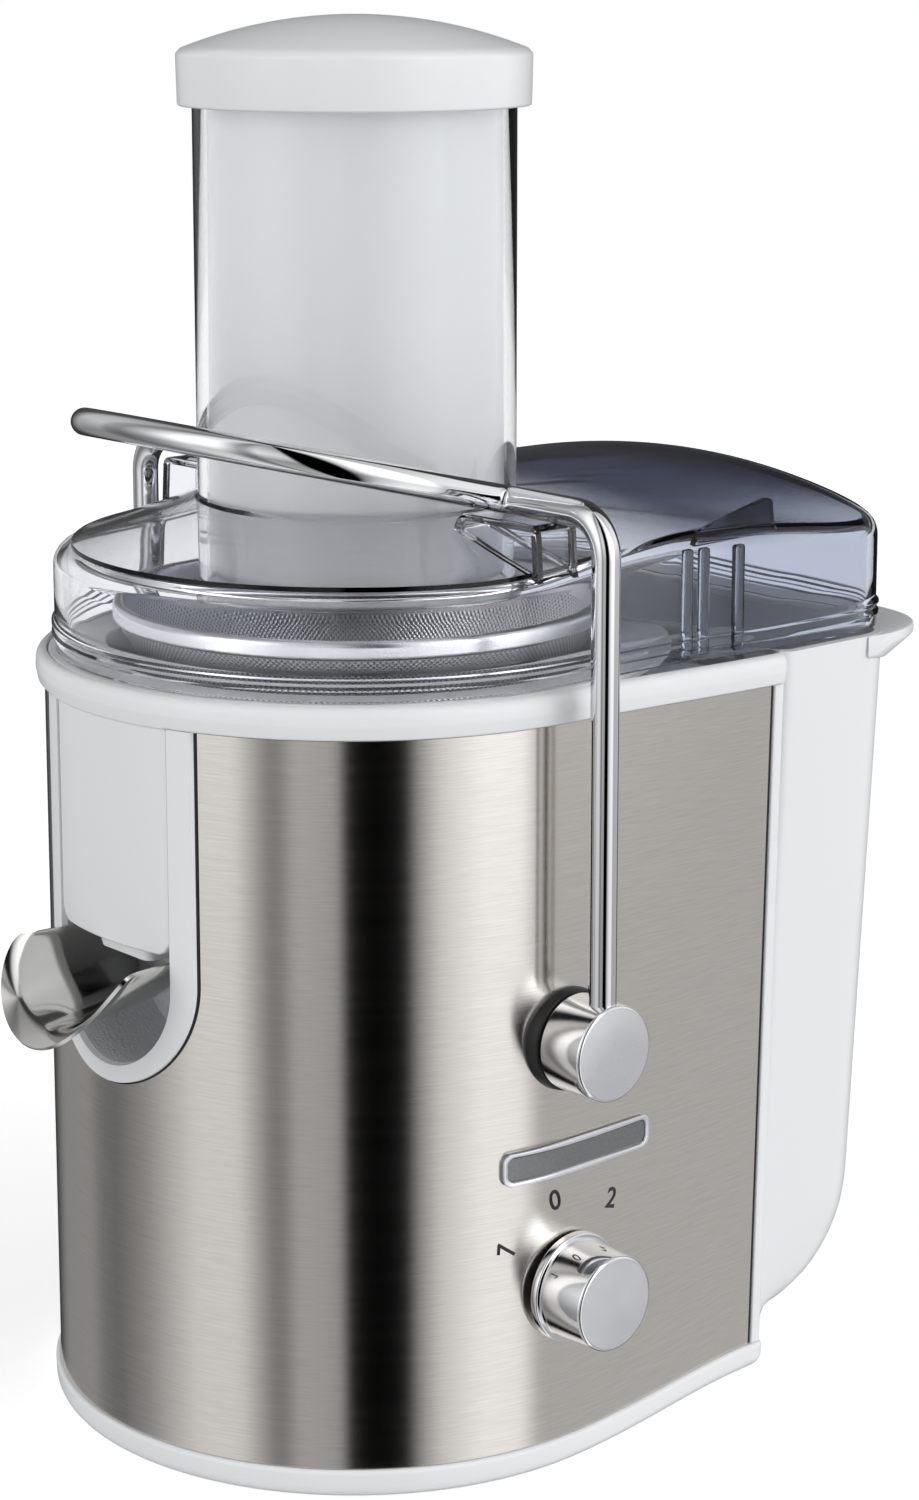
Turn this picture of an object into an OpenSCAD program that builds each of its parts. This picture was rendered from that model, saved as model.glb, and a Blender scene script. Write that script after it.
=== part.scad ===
// Centrifugal juicer with a whole-fruit feed tube.
// Front is -Y, up is +Z. The drive axis is vertical, a little in front of the origin,
// so that the origin is the middle of the footprint on the table.

/* [Body] */
// Radius of the round front of the steel body
body_r = 80; // [76:0.5:84]
// Height at which the steel wrap starts
skin_low = 14; // [12:0.5:16]
// Height at which the steel wrap ends and the collar starts
skin_high = 191; // [188:0.5:194]
// Height of the top of the collar
collar_high = 199; // [197:0.5:201]
// Thickness of the steel wrap
skin_t = 0.8; // [0.6:0.1:1.2]
// Wall thickness of the plastic housing
shell_t = 2.5; // [2:0.1:3]
// Half width of the body at its rear edge, at the foot
rear_x_low = 72; // [70:0.5:76]
// Half width of the body at its rear edge, at the collar
rear_x_high = 84; // [80:0.5:86]
// Distance of the rear edge behind the drive axis, at the foot
rear_y_low = 78; // [77:0.5:80]
// Distance of the rear edge behind the drive axis, at the collar
rear_y_high = 70; // [69.5:0.5:72]

/* [Spout opening] */
// Half width of the opening in the front
mouth_half = 22.3; // [20:0.1:24]
// Height of the lowest point of the opening
mouth_low = 103.5; // [100:0.5:106]
// Half width of the white frame round the opening
frame_half = 30; // [28:0.5:32]
// Height of the lowest point of the frame
frame_low = 98.6; // [96:0.2:99]
// Height of the lower edge of the closing panel
panel_low = 134.5; // [132:0.5:136]
// Reach of the spout tip in front of the drive axis
spout_reach = 108; // [104:0.5:112]

/* [Feed tube and pusher] */
// Outer radius of the feed tube
tube_r = 40.5; // [40:0.1:41]
// Wall of the feed tube
tube_t = 2.5; // [2:0.1:3]
// Height of the feed tube's mouth
tube_high = 345; // [343:0.5:345]
// Outer radius of the pusher's cap
cap_r = 44.4; // [44:0.1:46]
// Height of the crown of the cap
cap_high = 356.7; // [355:0.1:358]

/* [Lid] */
// Outer radius of the lid's ring
lid_r = 77.2; // [76.5:0.1:77.5]
// Wall of the clear lid
lid_t = 2.5; // [2:0.1:3]
// Height of the lid's shoulder
lid_high = 226; // [224:0.5:228]
// Half width of the hood over the pulp bin
hood_half = 80.5; // [79:0.5:82]
// Reach of the hood behind the drive axis
hood_reach = 122; // [120:0.5:123]

/* [Locking bail] */
// Radius of the bail's wire
wire_r = 3.5; // [3:0.1:3.5]
// Height of the bail's pivot
pivot_z = 112; // [111:0.5:113]
// Distance of the arms from the middle plane
arm_x = 92; // [91.5:0.1:92]
// Height of the bail's top bar
bar_z = 242; // [242:0.1:243]
// Half width of the loop round the feed tube
loop_half = 56.4; // [55:0.2:57]
// Rise of the loop towards the front, in degrees
loop_tilt = 14; // [8:0.5:16]

/* [Speed knob] */
// Height of the knob
knob_z = 48; // [47:0.5:49]
// Distance of the knob behind the drive axis
knob_y = 1; // [0:0.5:2]
// Radius of the knob's face
knob_r = 12; // [11:0.5:12]

/* [Pulp bin] */
// Height of the bin's rim
bin_high = 198.4; // [198:0.1:198.6]
// Height of the bin's bottom
bin_low = 16; // [16:0.5:18]
// Reach of the bin's rear wall behind the drive axis, at the rim
bin_rear = 123; // [121:0.5:124]
// Reach of the finger lip behind the drive axis
lip_rear = 137; // [135:0.5:138]
// Wall of the bin
bin_t = 2; // [1.6:0.1:2.4]

/* [Sieve basket] */
// Outer radius of the basket's rim
basket_r = 62.5; // [60:0.5:63]
// Outer radius of the juice bowl
bowl_r = 67; // [66:0.5:67]
// Radius of the motor shaft
shaft_r = 4; // [4:0.1:4]

/* [Hidden] */
$fn = 96;
white = [0.93, 0.94, 0.95];
clear = [0.75, 0.8, 0.9, 0.45];
steel = [0.72, 0.7, 0.67];
chrome = [0.8, 0.8, 0.82];
dark = [0.15, 0.15, 0.16];
copper = [0.72, 0.42, 0.22];
// The drive axis lies this far from the middle of the footprint.
drive_y = (spout_reach - lip_rear) / 2;
far = 200;
// The leaning sides are built in this many steps up to this height.
levels = 8;
level_top = 220;
collar_out = 2.3;
rebate_r = body_r - skin_t + 0.1;
shell_in = -skin_t - shell_t;
rebate_low = collar_high - 2.7;
flange_low = collar_high - 2.5;
flange_r = body_r - 1;
bowl_t = 2;
running = 0.05;
foot_r = 8;
tray_low = 1;
tray_floor = 4.5;
feet_at = [[56, -34], [56, 58], [-56, -34], [-56, 58]];
screws_at = [[70.5, -18], [66, 66], [-70.5, -18], [-66, 66]];
motor_at = [[30, 22], [30, -22], [-30, 22], [-30, -22]];
gland_x = -58;
gland_z = 9;
deck_z = 136;
stack_low = 58;
stack_high = 92;
bowl_low = 145;
grater_z = 164;
mesh_high = 206;
rim_high = 211;
chute_low = 214;
pusher_r = 37.3;
bush_r = 6;
pin_in = 64;
cam_x = 66;
cam_r = 9;
cam_lift = 1.2;
cam_turn = 95;
plunger_r = 1.5;
switch_top = 98;

// Half width and depth of the body's rear edge at height z.
function rise(z) = (z - skin_low) / (collar_high - skin_low);
function rear_x(z) = rear_x_low + (rear_x_high - rear_x_low) * rise(z);
function rear_y(z) = rear_y_low + (rear_y_high - rear_y_low) * rise(z);
// Half width of the flat side at height z and distance y behind the drive axis.
function side_x(z, y) = body_r + (rear_x(z) - body_r) * y / rear_y(z);

module at_drive() { translate([0, drive_y, 0]) children(); }

module both_sides() {
    children();
    mirror([1, 0, 0]) children();
}

// A cylinder along X whose low end is at x.
module along_x(x, y, z, r, h, r2 = 0) {
    translate([x, y, z]) rotate([0, 90, 0]) cylinder(h = h, r1 = r, r2 = r2 > 0 ? r2 : r);
}

// The body's outline as a solid: half round in front, leaning and twisted sides behind.
// grow moves the wall outwards, back moves the rear face.
module body_solid(grow, back, z0, z1) {
    front = body_r + grow;
    heights = [for (i = [0:levels]) i * level_top / levels];
    intersection() {
        translate([0, 0, z0]) cylinder(h = z1 - z0, r = front, $fn = 192);
        translate([-far, -far, z0]) cube([2 * far, far, z1 - z0]);
    }
    intersection() {
        polyhedron(
            points = [for (z = heights) let (y = rear_y(z) + back, x = side_x(z, y) + grow)
                each [[-front, 0, z], [front, 0, z], [x, y, z], [-x, y, z]]],
            faces = concat([[0, 1, 2, 3], [for (i = [3:-1:0]) 4 * levels + i]],
                [for (i = [0:levels - 1]) let (b = 4 * i, t = b + 4)
                    each [[b, t, t + 1, b + 1], [b + 2, t + 2, t + 3, b + 3],
                        [b + 1, t + 1, t + 2], [b + 1, t + 2, b + 2],
                        [b, t + 3, t], [b, b + 3, t + 3]]]));
        translate([-far, -far, z0]) cube([2 * far, 2 * far, z1 - z0]);
    }
}

// An arch-shaped bar along Y that cuts or fills the spout opening.
module mouth_bar(half, low, high, y0, y1) {
    centre = low + half;
    translate([0, y1, 0]) rotate([90, 0, 0]) linear_extrude(y1 - y0) {
        difference() {
            translate([0, centre]) circle(half);
            translate([-far, centre]) square(2 * far);
        }
        translate([-half, centre]) square([2 * half, high - centre]);
    }
}

module base_tray() {
    color(white) difference() {
        union() {
            body_solid(1.3, 1.3, tray_low, skin_low);
            translate([-45, rear_y_low, 8]) cube([90, 25, 7.4]);
        }
        body_solid(-4, -4, tray_floor, skin_low + 1);
        for (p = feet_at) translate([p[0], p[1], 0]) cylinder(h = 2.8, r = foot_r);
        for (p = screws_at) translate([p[0], p[1], 0]) {
            cylinder(h = far, r = 2);
            cylinder(h = 3.6, r = 3.8);
        }
        translate([gland_x, far, gland_z]) rotate([90, 0, 0]) cylinder(h = far, r = 4.4);
        for (x = [-30:10:30]) translate([x - 2, -20, 0]) cube([4, 40, 6]);
    }
    color(white) for (p = screws_at) translate([p[0], p[1], tray_floor]) difference() {
        cylinder(h = 3, r = 5);
        translate([0, 0, -1]) cylinder(h = 5, r = 2);
    }
}

module feet() {
    color(dark) for (p = feet_at) translate([p[0], p[1], 0]) cylinder(h = 2.8, r = foot_r);
}

module base_screws() {
    color(chrome) for (p = screws_at) translate([p[0], p[1], 0]) {
        translate([0, 0, 1.4]) cylinder(h = 2.2, r = 3.8);
        translate([0, 0, 3.6]) cylinder(h = 16.4, r = 2);
    }
}

module cord_gland() {
    color(dark) translate([gland_x, 0, gland_z]) rotate([-90, 0, 0]) difference() {
        union() {
            translate([0, 0, 72]) cylinder(h = 8, r = 4.4);
            translate([0, 0, 80]) cylinder(h = 2, r = 5.2);
            translate([0, 0, 72]) cylinder(h = 2, r = 5.2);
        }
        translate([0, 0, 70]) cylinder(h = 20, r = 3.6);
        translate([-10, gland_z - tray_floor - 0.05, 71]) cube([20, 10, 4]);
    }
}

module housing() {
    color(white) difference() {
        union() {
            difference() {
                body_solid(-skin_t, 0, skin_low, skin_high);
                body_solid(shell_in, -shell_t, skin_low - 1, skin_high + 1);
            }
            for (p = screws_at) translate([p[0], p[1], skin_low]) cylinder(h = 12, r = 5);
        }
        mouth_bar(mouth_half, mouth_low, far + 10, -far, -60);
        both_sides() along_x(70, 0, pivot_z, bush_r, 20);
        along_x(70, knob_y, knob_z, 5, 20);
        for (p = screws_at) translate([p[0], p[1], skin_low - 5]) cylinder(h = 11, r = 2);
    }
}

module motor_deck() {
    color(white) difference() {
        union() {
            body_solid(shell_in, -shell_t, deck_z, deck_z + 3);
            for (p = motor_at) translate([p[0], p[1], 112]) cylinder(h = deck_z - 112, r = 6);
        }
        cylinder(h = far, r = 12);
        translate([-25, -90, deck_z - 1]) cube([50, 40, 5]);
        for (p = motor_at) translate([p[0], p[1], 110]) cylinder(h = 8.1, r = 2);
    }
}

module top_deck() {
    color(white) difference() {
        body_solid(shell_in, -shell_t, skin_high - 3, skin_high);
        translate([0, 0, skin_high - 4]) cylinder(h = 5, r = bowl_r + 0.3);
    }
}

module collar() {
    color(white) difference() {
        body_solid(collar_out, 0, skin_high, collar_high);
        body_solid(shell_in, -shell_t, skin_high - 1, collar_high + 1);
        translate([0, 0, rebate_low]) cylinder(h = 10, r = rebate_r, $fn = 192);
        mouth_bar(mouth_half, mouth_low, far + 10, -far, -60);
    }
}

module steel_skin() {
    color(steel) difference() {
        body_solid(0, -4.5, skin_low, skin_high);
        body_solid(-skin_t, 10, skin_low - 1, skin_high + 1);
        mouth_bar(frame_half, frame_low, far + 10, -far, -60);
        both_sides() along_x(70, 0, pivot_z, bush_r, 20);
        along_x(70, knob_y, knob_z, 5, 20);
    }
}

module rear_trims() {
    color(white) difference() {
        body_solid(0.3, 0, skin_low, skin_high);
        body_solid(-skin_t, 10, skin_low - 1, skin_high + 1);
        body_solid(10, -4, skin_low - 1, skin_high + 1);
    }
}

module spout_frame() {
    color(white) intersection() {
        difference() {
            translate([0, 0, 90]) cylinder(h = skin_high - 90, r = body_r + 1, $fn = 192);
            cylinder(h = far, r = body_r - skin_t, $fn = 192);
        }
        difference() {
            mouth_bar(frame_half, frame_low, skin_high, -far, -60);
            mouth_bar(mouth_half, mouth_low, skin_high + 1, -far - 1, -59);
        }
    }
}

module recess_liner() {
    color([0.8, 0.81, 0.82]) intersection() {
        difference() {
            mouth_bar(mouth_half + 2, mouth_low - 2, bowl_low - 0.5, -90, -53);
            mouth_bar(mouth_half, mouth_low, far, -100, -55);
        }
        body_solid(shell_in - 0.05, 0, 90, 160);
    }
}

module badge() {
    color([0.55, 0.55, 0.56]) intersection() {
        difference() {
            body_solid(1, 0, 60, 100);
            body_solid(0, 10, 50, 110);
        }
        translate([70, -20, 78]) cube([20, 48, 8]);
    }
}

module juice_bowl() {
    color(white) difference() {
        union() {
            translate([0, 0, bowl_low]) cylinder(h = flange_low - bowl_low, r = bowl_r);
            intersection() {
                translate([0, 0, flange_low]) cylinder(h = 2.5, r = flange_r, $fn = 192);
                translate([-far, -far, 0]) cube([2 * far, far + 62, far]);
            }
        }
        cylinder(h = far, r = bowl_r - bowl_t);
        translate([-10, -76, bowl_low - 1]) cube([20, 16, 6]);
    }
}

module bowl_floor() {
    color(white) translate([0, 0, bowl_low]) difference() {
        union() {
            cylinder(h = 2, r = bowl_r - bowl_t);
            cylinder(h = 13, r = 15.5);
        }
        translate([0, 0, -1]) cylinder(h = far, r = 13);
        translate([-10, -76, -1]) cube([20, 22, 6]);
    }
}

// The closing panel in the spout opening, with its piece of the collar.
module front_panel() {
    color(white) intersection() {
        difference() {
            union() {
                translate([0, 0, panel_low])
                    cylinder(h = collar_high - panel_low, r = body_r + 0.4, $fn = 192);
                translate([0, 0, skin_high])
                    cylinder(h = collar_high - skin_high, r = body_r + collar_out, $fn = 192);
            }
            cylinder(h = flange_low, r = body_r - 2.2, $fn = 192);
            cylinder(h = far, r = flange_r, $fn = 192);
        }
        translate([-mouth_half + 0.2, -far, 0]) cube([2 * mouth_half - 0.4, far, far]);
    }
}

module juice_outlet() {
    color(white) difference() {
        translate([-13, -78, 130]) cube([26, 22.6, 20]);
        translate([-10, -76, 120]) cube([20, 18.6, 28]);
        translate([0, 0, bowl_low]) cylinder(h = far, r = bowl_r);
    }
}

module spout() {
    slope = 14;
    length = 58;
    color(chrome) intersection() {
        translate([0, -55.5, 146]) rotate([90 + slope, 0, 0]) difference() {
            cylinder(h = length, r1 = 20.5, r2 = 26.5);
            translate([0, 0, -1]) cylinder(h = length + 2, r1 = 19.4, r2 = 25.6);
        }
        translate([-40, -spout_reach, 90]) cube([80, 52, 42]);
        translate([0, -spout_reach + 34, 90]) cylinder(h = 60, r = 34);
    }
}

module lid_outline(inset) {
    intersection() {
        circle(lid_r - inset, $fn = 192);
        translate([-far, -far]) square([2 * far, far]);
    }
    side = lid_r - inset;
    hood = hood_half - inset;
    end = hood_reach - inset;
    half = [[0, 0], [side, 0], [side, 50], [hood, 52], [hood, end - 16], [hood - 4, end - 8],
        [hood - 12, end - 3.5], [40, end - 0.8], [0, end]];
    polygon(half);
    mirror([1, 0]) polygon(half);
}

module lug() {
    // Saddle under the bail's top bar.
    translate([46, -5, 228]) cube([30, 10, 10]);
    translate([46, -5, 224]) cube([30, 10, 4]);
}

module lid() {
    low = collar_high + 0.2;
    color(clear) difference() {
        union() {
            translate([0, 0, low]) linear_extrude(lid_high - low) lid_outline(0);
            translate([0, 0, lid_high]) cylinder(h = 7.5, r1 = lid_r - 4, r2 = tube_r + 3);
            both_sides() lug();
        }
        translate([0, 0, low - 1]) linear_extrude(lid_high - lid_t - low + 1) lid_outline(lid_t);
        translate([0, 0, lid_high - lid_t - 0.01])
            cylinder(h = 7.5, r1 = lid_r - 5, r2 = tube_r + 2);
        cylinder(h = 400, r = tube_r + 0.02);
    }
}

module feed_tube() {
    color(clear) translate([0, 0, chute_low]) difference() {
        cylinder(h = tube_high - chute_low, r = tube_r);
        translate([0, 0, -1]) cylinder(h = far, r = tube_r - tube_t);
    }
}

module stator_core() {
    color(steel) translate([0, 0, stack_low]) difference() {
        cylinder(h = stack_high - stack_low, r = 33);
        translate([0, 0, -1]) cylinder(h = 50, r = 21.5);
    }
}

module stator_windings() {
    color(copper) for (turn = [-60, 120]) rotate([0, 0, turn]) {
        translate([0, 0, stack_low - 7]) rotate_extrude(angle = 120) translate([23, 0])
            square([8, 7]);
        translate([0, 0, stack_high]) rotate_extrude(angle = 120) translate([23, 0])
            square([8, 5]);
    }
}

module bracket_top() {
    color(chrome) difference() {
        union() {
            translate([0, 0, 98]) cylinder(h = 3, r = 41);
            translate([0, 0, 98]) cylinder(h = 12, r = 14);
        }
        translate([0, 0, 103]) cylinder(h = 10, r = 11);
        translate([0, 0, 90]) cylinder(h = 30, r = 6);
        for (p = motor_at) translate([p[0], p[1], 90]) cylinder(h = 20, r = 2);
    }
}

module bracket_bottom() {
    color(chrome) difference() {
        union() {
            translate([0, 0, 28]) cylinder(h = 4, r = 41);
            translate([0, 0, 20]) cylinder(h = 12, r = 12);
        }
        translate([0, 0, 22]) cylinder(h = 12, r = 9);
        translate([0, 0, 10]) cylinder(h = 20, r = 6);
        for (p = motor_at) translate([p[0], p[1], 20]) cylinder(h = 20, r = 2);
        for (turn = [0, 90, 180, 270]) rotate([0, 0, turn]) translate([18, -6, 20])
            cube([14, 12, 20]);
    }
}

// A plain bearing bush with a running fit on the shaft.
module bush(z, r, h) {
    translate([0, 0, z]) difference() {
        cylinder(h = h, r = r);
        translate([0, 0, -1]) cylinder(h = h + 2, r = shaft_r + running);
    }
}

module bearing_top() { color([0.6, 0.5, 0.3]) bush(103, 11, 7); }

module bearing_bottom() { color([0.6, 0.5, 0.3]) bush(22, 9, 7); }

module shaft_seal() { color(dark) bush(deck_z, 12, 6); }

module brush_holders() {
    color(dark) both_sides() difference() {
        translate([12.5, -6, 37]) cube([16, 12, 12]);
        translate([10, -3.5, 39.5]) cube([17, 7, 7]);
    }
    color(dark) both_sides() translate([22, -4, 32]) cube([6, 8, 5]);
}

module carbon_brushes() {
    color([0.2, 0.2, 0.2]) both_sides() translate([11.3, -3.5, 39.5]) cube([12, 7, 7]);
}

module motor_mounts() {
    color(dark) for (p = motor_at) translate([p[0], p[1], 101]) difference() {
        cylinder(h = 11, r = 7);
        translate([0, 0, -1]) cylinder(h = 13, r = 2);
    }
}

module motor_screws() {
    color(chrome) for (p = motor_at) translate([p[0], p[1], 25]) {
        cylinder(h = 3, r = 3.6);
        translate([0, 0, 3]) cylinder(h = 90, r = 2);
    }
}

module pivot_bushes() {
    color([0.9, 0.9, 0.88]) both_sides() difference() {
        union() {
            along_x(74.2, 0, pivot_z, 8, 2);
            along_x(76.2, 0, pivot_z, bush_r, 4);
        }
        along_x(70, 0, pivot_z, shaft_r + running, 20);
    }
}

module pivot_gaskets() {
    color(dark) both_sides() difference() {
        along_x(76, 0, pivot_z, 13, 6.3);
        along_x(70, 0, pivot_z, bush_r, 20);
        body_solid(0, 0, 90, 140);
    }
}

module rotary_switch() {
    color(dark) difference() {
        union() {
            translate([52, knob_y - 13, knob_z - 13]) cube([20, 26, 26]);
            along_x(72, knob_y, knob_z, 4.9, 7.6);
        }
        along_x(60, knob_y, knob_z, 3 + running, 30);
    }
}

module safety_switch() {
    color(dark) difference() {
        translate([cam_x - 4, -10, 82]) cube([12, 20, switch_top - 82]);
        translate([cam_x + 2, 0, 88]) cylinder(h = 20, r = plunger_r + running);
    }
}

module safety_plunger() {
    color("red") translate([cam_x + 2, 0, 89]) cylinder(h = pivot_z - cam_r - 0.4 - 89, r = plunger_r);
}

module motor_shaft() {
    color(chrome) translate([0, 0, 20.5]) cylinder(h = 138, r = shaft_r);
}

module rotor_core() {
    color(steel) translate([0, 0, stack_low]) difference() {
        cylinder(h = stack_high - stack_low, r = 20.8);
        translate([0, 0, -1]) cylinder(h = 60, r = shaft_r);
        for (turn = [0:30:330]) rotate([0, 0, turn]) translate([17, -1.5, -1]) cube([8, 3, 60]);
    }
}

module rotor_windings() {
    color(copper) for (z = [stack_low - 6, stack_high]) translate([0, 0, z]) difference() {
        cylinder(h = z < stack_low ? 6 : 5, r = 18);
        translate([0, 0, -1]) cylinder(h = 60, r = shaft_r);
    }
}

module commutator() {
    color(copper) translate([0, 0, 36]) difference() {
        cylinder(h = 16, r = 11);
        translate([0, 0, -1]) cylinder(h = 60, r = shaft_r);
        for (turn = [0:30:330]) rotate([0, 0, turn]) translate([10, -0.4, -1]) cube([8, 0.8, 60]);
    }
}

module fan() {
    color(white) translate([0, 0, 114]) difference() {
        union() {
            cylinder(h = 2, r = 28);
            cylinder(h = 10, r = 8);
            for (turn = [0:45:315]) rotate([0, 0, turn]) translate([7, -0.8, 0]) cube([20, 1.6, 10]);
        }
        translate([0, 0, -1]) cylinder(h = 60, r = shaft_r);
    }
}

module drive_coupling() {
    color(white) difference() {
        translate([0, 0, 144]) cylinder(h = 20, r = 10, $fn = 6);
        translate([0, 0, 140]) cylinder(h = 18.5, r = shaft_r);
    }
}

module basket_hub() {
    color(white) difference() {
        union() {
            translate([0, 0, 160]) cylinder(h = 4, r = 45);
            translate([0, 0, 150]) cylinder(h = 10, r = 19);
        }
        translate([0, 0, 149]) cylinder(h = 11, r = 16.8);
        translate([0, 0, 159]) cylinder(h = 6, r = 10, $fn = 6);
    }
}

module basket_mesh() {
    color(chrome) rotate_extrude() polygon([[43.5, grater_z], [45, grater_z],
        [basket_r - 1.5, mesh_high], [basket_r - 2.7, mesh_high]]);
}

module basket_rim() {
    color(chrome) translate([0, 0, mesh_high]) difference() {
        cylinder(h = rim_high - mesh_high, r = basket_r);
        translate([0, 0, -1]) cylinder(h = 20, r = basket_r - 3.5);
    }
}

module grater_disc() {
    color(chrome) translate([0, 0, grater_z]) {
        cylinder(h = 1.5, r = 41);
        for (turn = [0:30:330]) rotate([0, 0, turn]) for (r = [12:6:36])
            translate([r, -1.5, 1.5]) cube([1, 3, 1.2]);
    }
}

module bail_loop() {
    corner = 5;
    straight = 16.5;
    color(chrome) translate([0, 0, bar_z]) rotate([-loop_tilt, 0, 0]) {
        translate([0, -straight, 0]) rotate([0, 0, 180]) rotate_extrude(angle = 180)
            translate([loop_half, 0]) circle(wire_r, $fn = 32);
        both_sides() {
            translate([loop_half, -corner, 0]) rotate([90, 0, 0])
                cylinder(h = straight - corner, r = wire_r, $fn = 32);
            translate([loop_half + corner, -corner, 0]) rotate([0, 0, 90])
                rotate_extrude(angle = 90) translate([corner, 0]) circle(wire_r, $fn = 32);
        }
    }
}

// The side arm of the bail, from the loop's corner down into the pivot cap.
module bail_arm() {
    bend = 10;
    color(chrome) {
        along_x(loop_half + 5, 0, bar_z, wire_r, arm_x - bend - loop_half - 5);
        translate([arm_x - bend, 0, bar_z - bend]) rotate([90, 0, 0])
            rotate_extrude(angle = 90) translate([bend, 0]) circle(wire_r, $fn = 32);
        translate([arm_x, 0, pivot_z + 4]) cylinder(h = bar_z - bend - pivot_z - 4, r = wire_r);
    }
}

module bail_arm_right() { bail_arm(); }

module bail_arm_left() { mirror([1, 0, 0]) bail_arm(); }

module pivot_cap() {
    color(chrome) difference() {
        along_x(82.7, 0, pivot_z, 12.2, 13.8, 12);
        along_x(80, 0, pivot_z, shaft_r, 8);
        translate([arm_x, 0, pivot_z + 4]) cylinder(h = 20, r = wire_r);
    }
}

module pivot_cap_right() { pivot_cap(); }

module pivot_cap_left() { mirror([1, 0, 0]) pivot_cap(); }

module pivot_pins() { color(steel) both_sides() along_x(pin_in, 0, pivot_z, shaft_r, 88 - pin_in); }

module pivot_clips() {
    color(dark) both_sides() difference() {
        along_x(72.4, 0, pivot_z, 7, 1.2);
        along_x(70, 0, pivot_z, shaft_r, 5);
    }
}

module lock_cam() {
    // The radius under the pivot shrinks evenly as the bail swings forward.
    color(white) translate([cam_x, 0, pivot_z]) rotate([90, 0, 90]) linear_extrude(4)
        difference() {
            polygon(concat([[0, cam_r], [cam_r, 0]], [for (a = [30:-5:-cam_turn - 30])
                let (r = cam_r - cam_lift * max(0, -a) / cam_turn) [r * cos(a - 90), r * sin(a - 90)]]));
            circle(shaft_r);
        }
}

module speed_knob() {
    color(chrome) difference() {
        union() {
            along_x(80.8, knob_y, knob_z, knob_r + 2, 1.7);
            along_x(82.5, knob_y, knob_z, knob_r + 0.6, 13.9, knob_r);
        }
        along_x(80, knob_y, knob_z, 3, 10);
    }
}

module knob_shaft() { color(steel) along_x(61, knob_y, knob_z, 3, 29); }

module pusher() {
    color(white) difference() {
        translate([0, 0, chute_low + 2]) cylinder(h = 347 - chute_low - 2, r = pusher_r);
        translate([0, 0, chute_low + 4]) cylinder(h = far, r = pusher_r - 2);
    }
}

module pusher_cap() {
    crown = cap_high - 348;
    ball = (cap_r * cap_r + crown * crown) / (2 * crown);
    color(white) {
        difference() {
            translate([0, 0, 334.4]) cylinder(h = 13.6, r = cap_r);
            translate([0, 0, 330]) cylinder(h = 17, r = tube_r + 1.4);
        }
        translate([0, 0, 348]) intersection() {
            translate([0, 0, crown - ball]) sphere(ball, $fn = 200);
            cylinder(h = 20, r = cap_r);
        }
    }
}

// Round posts at the corners of the bin, joined into its tapered body.
module bin_body(inset, low, high) {
    hull() both_sides() {
        for (p = [[83, rear_y_high + 1, 6, high], [82, bin_rear, 14, high],
            [66, rear_y_low + 1.2, 6, low], [66, 96, 8, low], [67, 112, 12, low + 36]]) {
            r = p[2];
            front = p[1] < bin_low + 70;
            translate([p[0] - r, front ? p[1] + r : p[1] - r, p[3] - 1])
                cylinder(h = 1, r = r - inset, $fn = 32);
        }
    }
}

module pulp_bin() {
    color(white) difference() {
        union() {
            bin_body(0, bin_low + 1, bin_high);
            translate([-70, 0, 0]) rotate([90, 0, 90]) linear_extrude(140)
                polygon([[bin_rear - 2, bin_high], [lip_rear, bin_high], [lip_rear, bin_high - 3],
                    [lip_rear - 3, bin_high - 6], [bin_rear + 2, bin_high - 9], [bin_rear - 2, bin_high - 9]]);
        }
        bin_body(bin_t, bin_low + 1 + bin_t, bin_high + 1);
    }
}

at_drive() base_tray();
at_drive() feet();
at_drive() base_screws();
at_drive() cord_gland();
at_drive() housing();
at_drive() motor_deck();
at_drive() top_deck();
at_drive() collar();
at_drive() steel_skin();
at_drive() rear_trims();
at_drive() spout_frame();
at_drive() recess_liner();
at_drive() badge();
at_drive() juice_bowl();
at_drive() bowl_floor();
at_drive() front_panel();
at_drive() juice_outlet();
at_drive() spout();
at_drive() lid();
at_drive() feed_tube();
at_drive() stator_core();
at_drive() stator_windings();
at_drive() bracket_top();
at_drive() bracket_bottom();
at_drive() bearing_top();
at_drive() bearing_bottom();
at_drive() brush_holders();
at_drive() carbon_brushes();
at_drive() motor_mounts();
at_drive() motor_screws();
at_drive() shaft_seal();
at_drive() pivot_bushes();
at_drive() pivot_gaskets();
at_drive() rotary_switch();
at_drive() safety_switch();
at_drive() motor_shaft();
at_drive() rotor_core();
at_drive() rotor_windings();
at_drive() commutator();
at_drive() fan();
at_drive() drive_coupling();
at_drive() basket_hub();
at_drive() basket_mesh();
at_drive() basket_rim();
at_drive() grater_disc();
at_drive() bail_loop();
at_drive() bail_arm_right();
at_drive() bail_arm_left();
at_drive() pivot_cap_right();
at_drive() pivot_cap_left();
at_drive() pivot_pins();
at_drive() pivot_clips();
at_drive() lock_cam();
at_drive() speed_knob();
at_drive() knob_shaft();
at_drive() pusher();
at_drive() pusher_cap();
at_drive() pulp_bin();
at_drive() safety_plunger();
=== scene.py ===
# %% [markdown]
# # A centrifugal juicer
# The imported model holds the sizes, the motor and everything that moves. This lesson builds the
# visible skin round it: a brushed steel wrap, glossy white mouldings, a clear lid and feed tube,
# and a chromed bail. Every piece is drawn in millimetres round the vertical drive axis, and a
# small helper turns it into metres in the model's own frame.

# %% Load the frame
import math

import bmesh
import bpy
from mathutils import Matrix, Vector


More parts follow.
